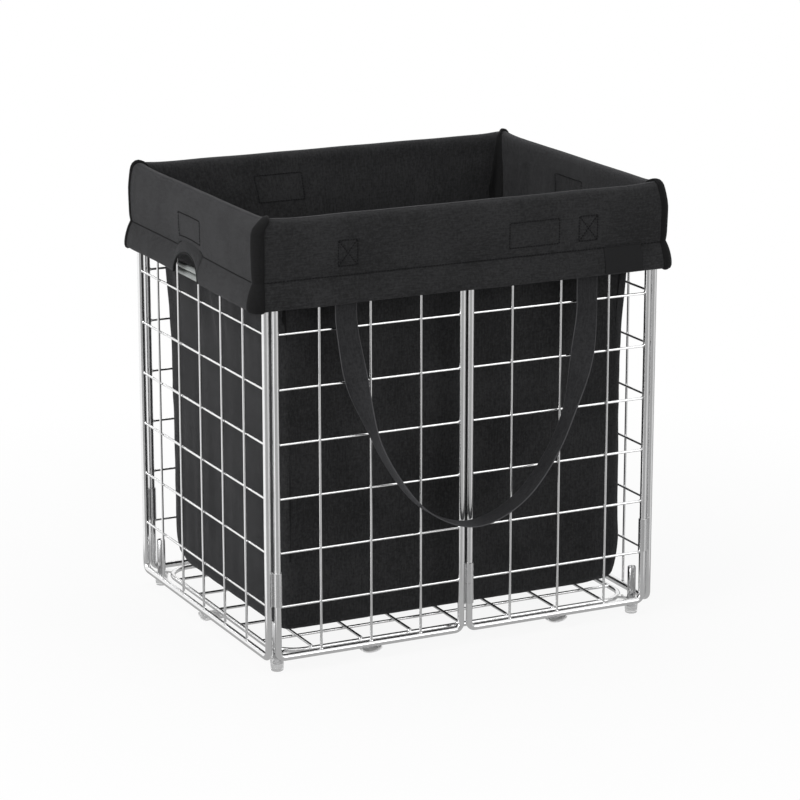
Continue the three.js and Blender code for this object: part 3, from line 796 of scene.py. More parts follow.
def stations(spacing, corner_steps, radius, side_places=None):
    """(wall, share along it, None) or (corner, None, angle), counterclockwise from the front left."""
    found = []
    for wall in range(4):
        half = wall_half(wall, LEAF, radius)
        marks = (-HALF_PLACE, 0.0, HALF_PLACE) if wall % 2 == 0 else (0.0,)
        places = side_places if side_places and wall % 2 else wall_places(half, spacing, marks)
        found += [(wall, place / half, None) for place in places]
        start = wall * 90 - 90
        found += [
            (wall, None, math.radians(start + 90 * step / corner_steps)) for step in range(1, corner_steps)
        ]
    return found


def wall_stations(line, wall):
    """(index, share) of the stations on a wall."""
    return [
        (index, share) for index, (side, share, angle) in enumerate(line) if side == wall and angle is None
    ]


def corner_stations(line, wall):
    """Indices of the stations on the corner at the end of a wall."""
    return [index for index, (side, _, angle) in enumerate(line) if side == wall and angle is not None]


def corner_middle(line, wall):
    found = corner_stations(line, wall)
    return found[len(found) // 2]


CORNER_SIGNS = ((1, -1), (1, 1), (-1, 1), (-1, -1))


def station_point(station, offset, radius):
    """((x, y), outward direction) at one offset outside the panels' middle planes."""
    wall, share, angle = station
    half_x, half_y = HALF_WIDTH + offset, HALF_DEPTH + offset
    if angle is None:
        half = (half_x if wall % 2 == 0 else half_y) - radius
        turn = wall * math.pi / 2
        out = Vector((math.sin(turn), -math.cos(turn)))
        along = Vector((math.cos(turn), math.sin(turn)))
        distance = half_y if wall % 2 == 0 else half_x
        return out * distance + along * (share * half), out
    sign_x, sign_y = CORNER_SIGNS[wall]
    out = Vector((math.cos(angle), math.sin(angle)))
    return Vector((sign_x * (half_x - radius), sign_y * (half_y - radius))) + out * radius, out


def smooth_noise(x, y, seed):
    return noise.noise(Vector((x, y, seed)))


# Cuff

# Offset outside the panels' middle planes and height, from the inner lip over the rail to the hem and back up
CUFF_PROFILE = [(offset * MM, height * MM) for offset, height in (
    (-6.6, 511.5), (-7.2, 513), (-7.9, 515.5), (-8.1, 518.2), (-7.3, 520.9), (-5.3, 522.8), (-2.8, 523.6),
    (0.0, 523.7),
    (2.6, 523.1), (4.8, 521.4), (6.4, 518.6), (7.4, 514.6), (8.0, 509.5), (8.4, 503), (8.6, 496), (8.6, 489),
    (8.5, 482), (8.3, 475), (8.1, 468), (7.8, 463), (7.4, 459.8), (7.0, 457.2), (6.8, 455.5), (7.5, 453.8),
    (9.0, 450.2), (10.4, 445.8), (11.6, 440.8), (12.5, 435.6), (13.0, 430.9), (13.0, 427.3), (12.3, 425.2),
    (11.0, 424.3),
    (9.4, 424.6), (8.0, 426.4), (7.1, 430), (6.5, 438), (6.1, 447), (6.0, 460), (6.0, 478), (6.0, 496),
    (5.8, 508), (5.6, 515.5), (4.8, 519.6),
)]
OUTER_END = 31
HEM_LEVEL = 22
CLOTH_SHARP = 60


def cuff_radius(offset):
    return max(CUFF_RADIUS + offset - LEAF, 2 * MM)


arch_places = [ARCH_HALF * math.sin(math.radians(turn)) for turn in range(6, 91, 6)]
arch_places += list(np.linspace(ARCH_HALF + 4.5 * MM, cuff_half(1), 27))
SIDE_PLACES = sorted([0.0] + [sign * place for place in arch_places for sign in (-1, 1)])
CUFF_STATIONS = stations(6 * MM, 10, CUFF_RADIUS, SIDE_PLACES)


def arch_rise(station, level=0):
    """How far the hem's lower edge is raised by the arch over a handle; the leaf behind clears it."""
    wall, share, angle = station
    if angle is not None or wall % 2 == 0:
        return 0.0
    behind = eased((level - OUTER_END) / 3)
    reach = ARCH_HALF + 12 * MM * behind
    return (ARCH_HEIGHT + 5 * MM * behind) * math.sqrt(max(1 - (share * cuff_half(wall) / reach) ** 2, 0.0))


def near_corner(station):
    """1 at a corner, falling to 0 along the walls."""
    wall, share, angle = station
    away = 0.0 if angle is not None else cuff_half(wall) * (1 - abs(share))
    return math.exp(-(away / (16 * MM)) ** 2)


def standoff(place, level, height):
    """How far the outer leaf hangs clear of the two side panels; most at the front left corner."""
    loose = eased((abs(place.x) - 212 * MM) / (34 * MM))
    front = eased((HALF_DEPTH - place.y) / (2 * HALF_DEPTH))
    if level < HEM_LEVEL:
        fall = (30 - 17 * front) * MM if place.x < 0 else 30 * MM
        loose *= eased((CUFF_TOP - height) / fall) * eased((level - 5) / 3)
    amount = 2.0 + 6.2 * front ** 2 if place.x < 0 else 2.5 + 2.0 * front
    amount += 1.5 * eased((level - HEM_LEVEL) / 6)
    return math.copysign(amount * MM * loose, place.x)


def leaf_swell(mark, height, level, rise):
    """How far the outer leaf stands out, in mm: soft swells above the hem line and ripples below it."""
    if level > OUTER_END + 3:
        return 0.0
    high = height / MM
    swell = 0.0
    if height > HEM_LINE and level > 8:
        swell = 1.5 * smooth_noise(mark / 55, high / 60, 2.3) + 0.25 * smooth_noise(mark / 17, high / 30, 6.1)
        swell *= clamped((height - HEM_LINE) / (14 * MM)) * clamped((CUFF_TOP - height) / (16 * MM))
    elif level >= HEM_LEVEL:
        drop = min((HEM_LINE + rise - height) / (31 * MM), 1.0)
        swell = 1.6 * smooth_noise(mark / 38, 0.4, 9.2) + 0.3 * smooth_noise(mark / 12, high / 25, 4.4)
        swell *= max(drop, 0.0)
        swell += 0.5 * smooth_noise(mark / 5, 0.3, 1.2) * max(1 - drop * 3, 0.0)
    if level >= 3:
        swell += 0.35 * smooth_noise(mark / 90, 0.2, 7.7)
    return swell


def cuff_point(station, run, offset, height, level):
    """A point on the cuff, with its folds."""
    rise = arch_rise(station, level)
    if rise and height < ARCH_REACH and level > 12:
        height += rise * min((ARCH_REACH - height) / (ARCH_REACH - CUFF_BOTTOM), 1.0) ** 1.15
        if level <= OUTER_END + 2 and height < HEM_LINE + rise:
            offset = ARCH_LEAF + (offset - ARCH_LEAF) * (1 - 0.25 * rise / ARCH_HEIGHT)
    corner = near_corner(station)
    mark = run / MM
    swell = leaf_swell(mark, height, level, rise) * MM * (1 - 0.7 * corner)
    place, _ = station_point(station, offset + swell, cuff_radius(offset))
    if level <= OUTER_END + 1:
        shift = standoff(place, level, height)
    else:
        shift = standoff(place, OUTER_END, height) * eased(1 - (level - OUTER_END) / 5)
    lift = 0.0
    if level <= 14:
        lift = 1.6 * corner + 0.5 * smooth_noise(mark / 60, 0.1, 3.9)
        lift *= clamped((height - 500 * MM) / (18 * MM))
    if level > HEM_LEVEL:
        lift += 0.9 * smooth_noise(mark / 70, 0.6, 5.1) * clamped((HEM_LINE - height) / (31 * MM))
    return Vector((place.x + shift, place.y, height + lift * MM))


def cuff_rows():
    """Rows of points, one row for each station, and the run of each station."""
    reference = [station_point(station, LEAF, CUFF_RADIUS)[0] for station in CUFF_STATIONS]
    runs = lengths([(p.x, p.y, 0) for p in reference + reference[:1]])
    rows = [
        [
            cuff_point(station, run, offset, height, level)
            for level, (offset, height) in enumerate(CUFF_PROFILE)
        ]
        for station, run in zip(CUFF_STATIONS, runs)
    ]
    return rows, runs


cuff, cuff_runs = cuff_rows()
cuff_heights = lengths([(offset, 0, height) for offset, height in CUFF_PROFILE])


def grid_normals(rows):
    """Outward normals of a grid of points that closes on itself along its rows."""
    points = np.array([[tuple(p) for p in row] for row in rows])
    along = np.roll(points, -1, axis=0) - np.roll(points, 1, axis=0)
    down = np.empty_like(points)
    down[:, 1:-1] = points[:, 2:] - points[:, :-2]
    down[:, 0] = points[:, 1] - points[:, 0]
    down[:, -1] = points[:, -1] - points[:, -2]
    normals = np.cross(down, along)
    return normals / np.maximum(np.linalg.norm(normals, axis=2, keepdims=True), 1e-12)


cuff_normals = grid_normals(cuff)


def on_cuff(run, level):
    """(point, normal) at a run and a profile level."""
    run = run % cuff_runs[-1]
    index = min(int(np.searchsorted(cuff_runs, run, side="right")) - 1, len(cuff) - 1)
    share = (run - cuff_runs[index]) / max(cuff_runs[index + 1] - cuff_runs[index], 1e-9)
    beside = (index + 1) % len(cuff)
    low = min(int(level), len(CUFF_PROFILE) - 2)
    part = level - low
    corners = [(index, low), (beside, low), (beside, low + 1), (index, low + 1)]
    weights = [(1 - share) * (1 - part), share * (1 - part), share * part, (1 - share) * part]
    point = sum((cuff[i][j] * w for (i, j), w in zip(corners, weights)), Vector((0, 0, 0)))
    normal = Vector(sum(cuff_normals[i][j] * w for (i, j), w in zip(corners, weights))).normalized()
    return point, normal


def level_at(height):
    """The outer leaf's profile level at a height above the hem line."""
    heights = [z for _, z in CUFF_PROFILE]
    for level in range(12, OUTER_END):
        if heights[level] >= height >= heights[level + 1]:
            return level + (heights[level] - height) / (heights[level] - heights[level + 1])
    return float(OUTER_END)


def run_of(wall, along):
    """The run of a place along a wall."""
    found = wall_stations(CUFF_STATIONS, wall)
    places = [share * cuff_half(wall) for _, share in found]
    return float(np.interp(along, places, [cuff_runs[index] for index, _ in found]))


# Along a stitch: the share of its length, its thickness and how far it stands out of the cloth
STITCH_FORM = ((0.0, 0.35, -0.5), (0.2, 0.95, 0.25), (0.5, 1.0, 0.45), (0.8, 0.95, 0.25), (1.0, 0.35, -0.5))


def stitch(shape, first, second, normal):
    """One stitch: a short thread that dips into the cloth at both ends."""
    first, second, normal = Vector(first), Vector(second), Vector(normal)
    side = normal.cross((second - first).normalized()).normalized()
    shape.grid([
        ring(first.lerp(second, share) + normal * STITCH_RADIUS * lift, side, normal, STITCH_RADIUS * size, 6)
        for share, size, lift in STITCH_FORM
    ], around=True, kind=1)


def resampled(points, runs, run):
    """The point at a length along a line."""
    coordinates = np.array([tuple(p) for p in points])
    return Vector([np.interp(run, runs, coordinates[:, axis]) for axis in range(3)])


def stitch_line(shape, line):
    """Stitches along a line of (point, normal)."""
    points, normals = zip(*line)
    runs = lengths(points)
    count = max(1, round(runs[-1] / STITCH_PITCH))
    for number in range(count):
        start = number * runs[-1] / count
        end = start + STITCH_SHARE * runs[-1] / count
        first, second = (resampled(points, runs, run) for run in (start, end))
        stitch(shape, first, second, resampled(normals, runs, start))


def between_places(first, second, count):
    """Places on a straight line between two (along, height) places."""
    return [
        tuple(a + (b - a) * share for a, b in zip(first, second)) for share in np.linspace(0, 1, count)
    ]


def box_lines(wall, left, right, crossed=False):
    """The lines of a stitched rectangle; one over the middle, where the cuff is divided, is cut there."""
    corners = [(left, STITCH_LOW), (right, STITCH_LOW), (right, STITCH_HIGH), (left, STITCH_HIGH)]
    lines = []
    for first, second in zip(corners, corners[1:] + corners[:1]):
        if first[0] * second[0] < 0:
            middle = (0.0, first[1])
            lines += [((left, first[1]), middle), (middle, (right, first[1]))]
        else:
            lines.append((first, second))
    if crossed:
        lines += [(corners[0], corners[2]), (corners[1], corners[3])]
    return [(wall, first, second) for first, second in lines]


STITCHING = []
for wall in (0, 2):
    STITCHING += box_lines(wall, *FRONT_BOX)
    for place in (-CROSSED_BOX_PLACE, CROSSED_BOX_PLACE):
        STITCHING += box_lines(wall, place - CROSSED_BOX_HALF, place + CROSSED_BOX_HALF, crossed=True)
for wall in (1, 3):
    STITCHING += box_lines(wall, *SIDE_BOX)

# The liner's cloth is divided on the front and the back, and past the back right corner,
# where its loop is open
OPEN_PLACE = -0.237
MARKS = (
    (0, -HALF_PLACE), (0, 0.0), (0, HALF_PLACE), (1, 0.0), (2, OPEN_PLACE), (2, -HALF_PLACE), (2, 0.0),
    (2, HALF_PLACE), (3, 0.0),
)
# For the piece after each mark: its name, its bodies and the fold line between them, the node its cuff stands
# for, the wall whose rectangle the bag's piece carries, and the corner it goes round
PIECES = (
    ("front_a", ("front_left", "front_middle"), ("middle", -1, -1), "cuff_front_left", None, None),
    ("front_b", ("front_middle", "front_right"), ("middle", 1, -1), "cuff_front_right", 0, None),
    ("right_front", ("front_right", "right"), ("corner", 1, -1), None, None, 0),
    ("right_back", ("right",), None, "cuff_right", 1, 1),
    ("back_end", ("back_right",), None, "cuff_back_right", None, None),
    ("back_b", ("back_middle", "back_right"), ("middle", 1, 1), None, None, None),
    ("back_a", ("back_left", "back_middle"), ("middle", -1, 1), "cuff_back_left", 2, None),
    ("left_back", ("left", "back_left"), ("corner", -1, 1), None, None, 2),
    ("left_front", ("left", "front_left"), ("corner", -1, -1), "cuff_left", 3, 3),
)
# The panels under each wall of the cuff, left half and right half as seen from outside
WALL_PANELS = (
    ("front_left", "front_right"), ("right", "right"), ("back_right", "back_left"), ("left", "left"),
)


def stretch(line, runs, radius, number):
    """The stations of one piece on a line of stations that closes on itself, and the run of each."""
    ends = []
    for wall, place in (MARKS[number], MARKS[(number + 1) % len(MARKS)]):
        half = wall_half(wall, LEAF, radius)
        ends.append(min((abs(share * half - place), index) for index, share in wall_stations(line, wall))[1])
    first, last = ends
    count = len(line)
    if last <= first:
        last += count
    indices = [index % count for index in range(first, last + 1)]
    return indices, [runs[index % count] + index // count * runs[-1] for index in range(first, last + 1)]


def carry(piece, bodies, fold):
    """Attaches a piece of cloth to its one body; a piece with a fold line is instead baked into world space
    and rides on no body.
    """
    bodies = ["liner_" + body for body in bodies]
    if fold:
        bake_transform(piece)
    else:
        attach(piece, *bodies)


def within(run, start, end):
    total = cuff_runs[-1]
    return (run - start) % total < (end - start) % total


def corner_band(shape, wall):
    """The raised binding down one corner."""
    centre = cuff_runs[corner_middle(CUFF_STATIONS, wall)]
    rows, us = [], []
    for share in np.sin(np.linspace(-math.pi / 2, math.pi / 2, 17)):
        crown = math.sqrt(max(1 - share ** 4, 0.0))
        us.append(centre + share * BINDING_HALF)
        row = []
        for level in range(1, OUTER_END + 3):
            point, normal = on_cuff(us[-1], float(level))
            swell = (2.5 + 1.6 * math.exp(-((level - 7) / 4) ** 2)) * crown - 0.3
            row.append(point + normal * swell * MM)
        rows.append(row)
    shape.grid(rows, us=us + [us[-1]], vs=cuff_heights[1:OUTER_END + 4], kind=2)


def arch_rim(shape, indices):
    """A bound rim along the lower edge of the arch, where a piece has half of it."""
    level = OUTER_END - 1
    inside = []
    for index in indices:
        wall, share, angle = CUFF_STATIONS[index]
        if wall % 2 and angle is None and abs(share) * cuff_half(wall) < ARCH_HALF + 1 * MM:
            inside.append(index)
    path = [cuff[index][level] for index in inside]
    rows = []
    for place, index in enumerate(inside):
        along = heading(path, place)
        side = Vector(cuff_normals[index][level]).cross(along).normalized()
        rows.append(ring(path[place], side, along.cross(side).normalized(), 1.5 * MM, 10))
    if rows:
        us = lengths(path)
        shape.grid(rows, around=True, us=us + [us[-1]], kind=2)


def hem_stitches(shape, low, high):
    """The line of stitches along the hem, left out over the arches."""
    for run in np.arange(low, high, HEM_PITCH):
        nearest = int(np.searchsorted(cuff_runs, run % cuff_runs[-1])) % len(CUFF_STATIONS)
        if arch_rise(CUFF_STATIONS[nearest]) <= 20 * MM:
            first, normal = on_cuff(run, HEM_LEVEL - 0.15)
            second, _ = on_cuff(run + HEM_STITCH, HEM_LEVEL - 0.15)
            stitch(shape, first, second, normal)


def make_cuff_piece(number, name, bodies, fold, node, corner):
    indices, runs = stretch(CUFF_STATIONS, cuff_runs, CUFF_RADIUS, number)
    shape = Shape()
    shape.grid([cuff[index] for index in indices], us=runs + runs[-1:], vs=cuff_heights + cuff_heights[-1:])
    shape.normals = dict(enumerate(tuple(normal) for index in indices for normal in cuff_normals[index]))
    if corner is not None:
        corner_band(shape, corner)
    arch_rim(shape, indices)
    hem_stitches(shape, runs[0], runs[-1])
    for wall, first, second in STITCHING:
        if within(run_of(wall, (first[0] + second[0]) / 2), runs[0], runs[-1]):
            places = between_places(first, second, 25)
            stitch_line(shape, [on_cuff(run_of(wall, along), level_at(height)) for along, height in places])
    piece = shape.made("cuff_cloth_" + name, [cloth, thread, binding], CLOTH_SHARP, tidy=False)
    carry(piece, bodies, fold)
    if node:
        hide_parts(node)
    carriers = []
    for index in indices[1:-1]:
        wall, share, angle = CUFF_STATIONS[index]
        if angle is None:
            carrier = WALL_PANELS[wall][int(share > 0)] + "_wirework"
            carriers += [carrier] if carrier not in carriers else []


for number, (name, bodies, fold, node, rectangle, corner) in enumerate(PIECES):
    make_cuff_piece(number, name, bodies, fold, node, corner)


# Bag

def cuff_run_of(station):
    """The cuff's run beside a place on the bag."""
    wall, share, angle = station
    if angle is None:
        return run_of(wall, share * cuff_half(wall))
    turns = corner_stations(CUFF_STATIONS, wall)
    first, last = cuff_runs[turns[0] - 1], cuff_runs[turns[-1] + 1]
    return first + (last - first) * (angle - math.radians(wall * 90 - 90)) / (math.pi / 2)


BAG_STATIONS = stations(8 * MM, 8, BAG_TURN)
FLOOR_ROWS = 14
RIM_LEVELS = (7.6, 6.8, 6.0, 5.2, 4.5, 3.8)
MEASURED_ROW = 40


def bag_levels():
    """(inset, height, corner radius) from below the rim down to the floor of the bag."""
    levels = []
    for height in np.linspace(BAG_RIM, BAG_SHOULDER, 12, endpoint=False):
        share = (BAG_RIM - height) / (BAG_RIM - BAG_SHOULDER)
        inset = BAG_RIM_INSET + (BAG_INSET - BAG_RIM_INSET) * (0.8 * share + 0.2 * share ** 2)
        levels.append((inset, height, BAG_RIM_RADIUS + (BAG_RADIUS - BAG_RIM_RADIUS) * share))
    low = BAG_BOTTOM + BAG_EDGE
    straight = np.linspace(BAG_SHOULDER, low, 46, endpoint=False)
    levels += [(BAG_INSET, height, BAG_RADIUS) for height in straight]
    for turn in np.radians(np.linspace(0, 90, 6)):
        inward = BAG_EDGE * (1 - math.cos(turn))
        levels.append((BAG_INSET + inward, low - BAG_EDGE * math.sin(turn), BAG_RADIUS - inward * 0.5))
    return levels


def corner_pull(station, height):
    """How far the bag's lower corners are drawn in, least at the front left one."""
    wall, share, angle = station
    on_wall = angle is None
    away = wall_half(wall, -BAG_INSET, BAG_RADIUS) * (1 - abs(share)) if on_wall else 0.0
    low = clamped((BAG_BOTTOM + 48 * MM - height) / (48 * MM))
    front_left = on_wall and share < 0 if wall == 0 else wall == 3 and not (on_wall and share < 0)
    deepest = (4 if front_left else 13) * MM
    return deepest * (1 - math.sqrt(1 - 0.96 * low ** 2)) * math.exp(-(away / (20 * MM)) ** 2)


def bag_fold(mark, height):
    """Soft vertical folds that open towards the bottom, and slack creases across them."""
    high = height / MM
    fall = clamped((500 * MM - height) / (420 * MM))
    above = clamped((height - BAG_BOTTOM) / (50 * MM))
    fold = 2.6 * smooth_noise(mark / 24, high / 420, 3.1) + 1.6 * smooth_noise(mark / 10, high / 240, 8.7)
    crease = 1.2 * smooth_noise(mark / 60, high / 30, 5.5)
    return (fold * fall + crease * min(fall * 4, 1.0)) * MM * (0.3 + 0.7 * above)


def moved_out(point, out, distance):
    return point + Vector((out.x * distance, out.y * distance, 0))


def bag_rows():
    """Rows of points from the crest of the bag's rim to the middle of its floor, and the run round it."""
    rows = []
    for level in RIM_LEVELS:
        places = [on_cuff(cuff_run_of(station), level) for station in BAG_STATIONS]
        rows.append([point + normal * 0.45 * MM for point, normal in places])
    for inset, height, radius in bag_levels():
        row = []
        for station in BAG_STATIONS:
            place, out = station_point(station, -inset, radius)
            point = Vector((place.x, place.y, height))
            row.append(moved_out(point, out, -corner_pull(station, point.z)))
        rows.append(row)
    runs = lengths(rows[MEASURED_ROW] + rows[MEASURED_ROW][:1])
    for row in rows[len(RIM_LEVELS):]:
        for column, (station, point) in enumerate(zip(BAG_STATIONS, row)):
            _, out = station_point(station, 0, BAG_RADIUS)
            row[column] = moved_out(point, out, bag_fold(runs[column] / MM, point.z))
    bottom = rows[-1]
    for share in np.linspace(0.93, 0.03, FLOOR_ROWS):
        rows.append([Vector((p.x * share, p.y * share, BAG_BOTTOM)) for p in bottom])
    return rows, runs


def closed_bag(name):
    """The whole bag as one mesh."""
    shape = Shape()
    start = shape.grid(bag_grid, around=True)
    shape.close(range(start + (len(bag_grid) - 1) * bag_wide, start + len(bag_grid) * bag_wide))
    return shape.made(name, [cloth], 180, tidy=False)


def discard(piece):
    mesh = piece.data
    bpy.data.objects.remove(piece)
    bpy.data.meshes.remove(mesh)


def hung_bag():
    """The bag's rows after the cloth has hung from its rim; no point goes further than HANG_REACH."""
    piece = closed_bag("hanging_cloth")
    rest = np.array([v.co[:] for v in piece.data.vertices])
    group = piece.vertex_groups.new(name="pinned")
    group.add([index for index, place in enumerate(rest) if place[2] > 500 * MM], 1.0, "REPLACE")
    modifier = piece.modifiers.new("hang", "CLOTH")
    for name, value in HANG_SETTINGS.items():
        setattr(modifier.settings, name, value)
    modifier.collision_settings.use_collision = False
    modifier.point_cache.frame_start = 1
    modifier.point_cache.frame_end = HANG_FRAMES
    scene = bpy.context.scene
    for number in range(1, HANG_FRAMES + 1):
        scene.frame_set(number)
    evaluated = piece.evaluated_get(bpy.context.evaluated_depsgraph_get())
    shift = np.array([v.co[:] for v in evaluated.data.vertices]) - rest
    scene.frame_set(1)
    discard(piece)
    far = np.linalg.norm(shift, axis=1, keepdims=True)
    settled = rest + shift * HANG_REACH * np.tanh(far / HANG_REACH) / np.maximum(far, 1e-9)
    settled[:, 2] = np.maximum(settled[:, 2], 34 * MM)
    return [[Vector(point) for point in row] for row in settled.reshape(len(bag_grid), bag_wide, 3)]


bag_wide = len(BAG_STATIONS)
bag_grid, bag_runs = bag_rows()
bag_grid = hung_bag()


def on_bag(wall, along, height):
    """(point, normal into the bag) on the inside of a wall of the bag."""
    half = wall_half(wall, 0.0, BAG_MOUTH_INSET)
    found = wall_stations(BAG_STATIONS, wall)
    column = float(np.interp(along, [share * half for _, share in found], [index for index, _ in found]))
    first = min(int(column), found[-1][0] - 1)
    heights = [row[first].z for row in bag_grid]
    rows = range(len(RIM_LEVELS), len(bag_grid))
    row = next(row for row in rows if heights[row] >= height > heights[row + 1])
    upper, lower = (line[first].lerp(line[first + 1], column - first) for line in bag_grid[row:row + 2])
    turn = wall * math.pi / 2
    part = (heights[row] - height) / (heights[row] - heights[row + 1])
    return upper.lerp(lower, part), Vector((-math.sin(turn), math.cos(turn), 0))


def bag_rectangle(shape, wall):
    """A rectangle stitched on one wall, as seen inside the bag."""
    left, right = BAG_FRONT_BOX if wall % 2 == 0 else SIDE_BOX
    corners = [(left, BAG_BOX_LOW), (right, BAG_BOX_LOW), (right, BAG_BOX_HIGH), (left, BAG_BOX_HIGH)]
    for first, second in zip(corners, corners[1:] + corners[:1]):
        stitch_line(shape, [on_bag(wall, *place) for place in between_places(first, second, 20)])


def bag_binding(shape, wall):
    """The binding down the inside corner at the end of one wall."""
    middle = corner_middle(BAG_STATIONS, wall)
    rows = []
    for share in np.linspace(-1, 1, 9):
        swell = 1.7 * MM * math.sqrt(max(1 - share ** 4, 0.0)) - 0.3 * MM
        half = BINDING_HALF * share
        line = []
        for row in bag_grid[3:56]:
            around = (row[(middle + step) % bag_wide] for step in (0, -4, 4, -5, 5))
            corner, left, right, before, after = around
            centre = (before + after) / 2
            across = right - left
            inward = Vector((centre.x - corner.x, centre.y - corner.y, 0)).normalized()
            reach = abs(half) / max(across.length / 2, 1e-6)
            curve = (right - corner).dot(inward) * min(reach, 1.0) ** 2
            line.append(corner + across.normalized() * half + inward * (curve + swell))
        rows.append(line)
    shape.grid(rows, kind=2)


# The cloth's normals before it is divided, so that no division shows
whole_bag = closed_bag("whole_bag")
bag_normals = [tuple(vertex.normal) for vertex in whole_bag.data.vertices]
discard(whole_bag)
bag_heights = lengths([row[5] for row in bag_grid]) + [1.0]


def make_bag_piece(number, name, bodies, fold, rectangle, corner):
    columns, runs = stretch(BAG_STATIONS, bag_runs, BAG_TURN, number)
    high = len(bag_grid) - FLOOR_ROWS
    shape = Shape()
    shape.grid([[row[column] for column in columns] for row in bag_grid[:high]], us=bag_heights, vs=runs)
    normals = (bag_normals[row * bag_wide + column] for row in range(high) for column in columns)
    shape.normals = dict(enumerate(normals))
    if rectangle is not None:
        bag_rectangle(shape, rectangle)
    if corner is not None:
        bag_binding(shape, corner)
    piece = shape.made("bag_cloth_" + name, [cloth, thread, binding], CLOTH_SHARP, tidy=False)
    carry(piece, bodies, fold)


for number, (name, bodies, fold, node, rectangle, corner) in enumerate(PIECES):
    make_bag_piece(number, name, bodies, fold, rectangle, corner)

shape = Shape()
first = len(bag_grid) - FLOOR_ROWS - 1
start = shape.grid(bag_grid[first:], around=True, vs=bag_runs, us=bag_heights[first:])
shape.close(range(start + FLOOR_ROWS * bag_wide, start + (FLOOR_ROWS + 1) * bag_wide))
shape.normals = dict(enumerate(bag_normals[first * bag_wide:]))
bag_floor = shape.made("bag_floor", [cloth], CLOTH_SHARP, tidy=False)
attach(bag_floor, "liner_left")
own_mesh(bag_floor)
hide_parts("bag")


# Carry straps

def weighed(first, second, start, end, t):
    return first * ((end - t) / (end - start)) + second * ((t - start) / (end - start))


def catmull(points, samples):
    """A centripetal curve through the points, resampled evenly along its length."""
    points = [Vector(p) for p in points]
    ends = [2 * points[0] - points[1]] + points + [2 * points[-1] - points[-2]]
    dense = []
    for index in range(len(points) - 1):
        four = ends[index:index + 4]
        knots = [0.0]
        for first, second in zip(four, four[1:]):
            knots.append(knots[-1] + (second - first).length ** 0.5)
        for t in np.linspace(knots[1], knots[2], 24, endpoint=False):
            three = [weighed(four[i], four[i + 1], knots[i], knots[i + 1], t) for i in range(3)]
            two = [weighed(three[i], three[i + 1], knots[i], knots[i + 2], t) for i in range(2)]
            dense.append(weighed(*two, knots[1], knots[2], t))
    dense.append(points[-1])
    runs = lengths(dense)
    return [resampled(dense, runs, run) for run in np.linspace(0, runs[-1], samples)]


# Down a strap's hanging half: the shares of its spread, of its standing out and of its fall
SAG_SHARES = ((1.0, 0.0, 0.06), (0.985, 0.25, 0.17), (0.9, 0.65, 0.42), (0.7, 0.95, 0.7), (0.38, 1.0, 0.92))
inner = (STRAP_EDGE - STRAP_HALF, -STRAP_HALF / 2, 0.0, STRAP_HALF / 2, STRAP_HALF - STRAP_EDGE)
STRAP_SECTION = [(-STRAP_HALF, 0.0)] + [(a, -0.5) for a in inner] + [(STRAP_HALF, 0.0)]
STRAP_SECTION += [(a, 0.5) for a in reversed(inner)]
STRAP_AROUND = [
    a * MM for a in (-13.5, -13.0, -6.75, 0, 6.75, 13.0, 13.5, 13.0, 6.75, 0, -6.75, -13.0, -13.5)
]


def strap_rows():
    """Cross-sections of the front strap from its left end to its right end, and its middle line."""
    sag = CUFF_BOTTOM - STRAP_LOW
    heights = (STRAP_TOP, (STRAP_TOP + CUFF_BOTTOM) / 2, CUFF_BOTTOM)
    half = [(-STRAP_SPREAD, STRAP_FLAT, height) for height in heights]
    out = STRAP_OUT - STRAP_FLAT
    half += [(-STRAP_SPREAD * a, STRAP_FLAT + out * b, CUFF_BOTTOM - sag * c) for a, b, c in SAG_SHARES]
    other = [(-x, y, z) for x, y, z in reversed(half)]
    line = catmull(half + [(0, STRAP_OUT, STRAP_LOW)] + other, 141)
    rows = []
    for index, centre in enumerate(line):
        along = heading(line, index)
        fallen = clamped((CUFF_BOTTOM - centre.z) / sag)
        turn = math.pi / 2 * eased((fallen - 0.12) / 0.5)
        across = Vector((math.cos(turn), math.sin(turn), 0))
        across = (across - along * across.dot(along)).normalized()
        thick = along.cross(across).normalized()
        sway = 0.5 * MM * smooth_noise(index / 14, 0.3, 2.2) * min(fallen * 6, 1.0)
        cup = 0.5 * MM * min(fallen * 4, 1.0)
        row = []
        for a, b in STRAP_SECTION:
            bow = cup * (1 - (a / STRAP_HALF) ** 2) + sway
            point = centre + across * a + thick * (b * STRAP_THICK + bow)
            row.append(Vector((point.x, -HALF_DEPTH - point.y, point.z)))
        rows.append(row)
    return rows, line


strap, strap_line = strap_rows()
strap_runs = lengths(strap_line)
middle = len(strap) // 2
for name, turned in (("front", 1), ("back", -1)):
    for half, side in zip((slice(0, middle + 1), slice(middle, None)), ("left", "right")[::turned]):
        rows = [[Vector((turned * p.x, turned * p.y, p.z)) for p in row] for row in strap[half]]
        shape = Shape()
        shape.tube(rows, us=strap_runs[half] + strap_runs[half][-1:], vs=STRAP_AROUND)
        piece = shape.made(f"strap_{name}_webbing_{side}", [webbing], 50)
        low, high = (-0.13, -0.02) if side == "left" else (0.02, 0.13)
        first, second = ("left", "middle") if side == "left" else ("middle", "right")
        start, end = ((x, turned * -0.195, 0.4) for x in (low, high))
        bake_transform(piece)
        if side == "left":
            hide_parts(f"strap_{name}")


# Bare patch on the hem

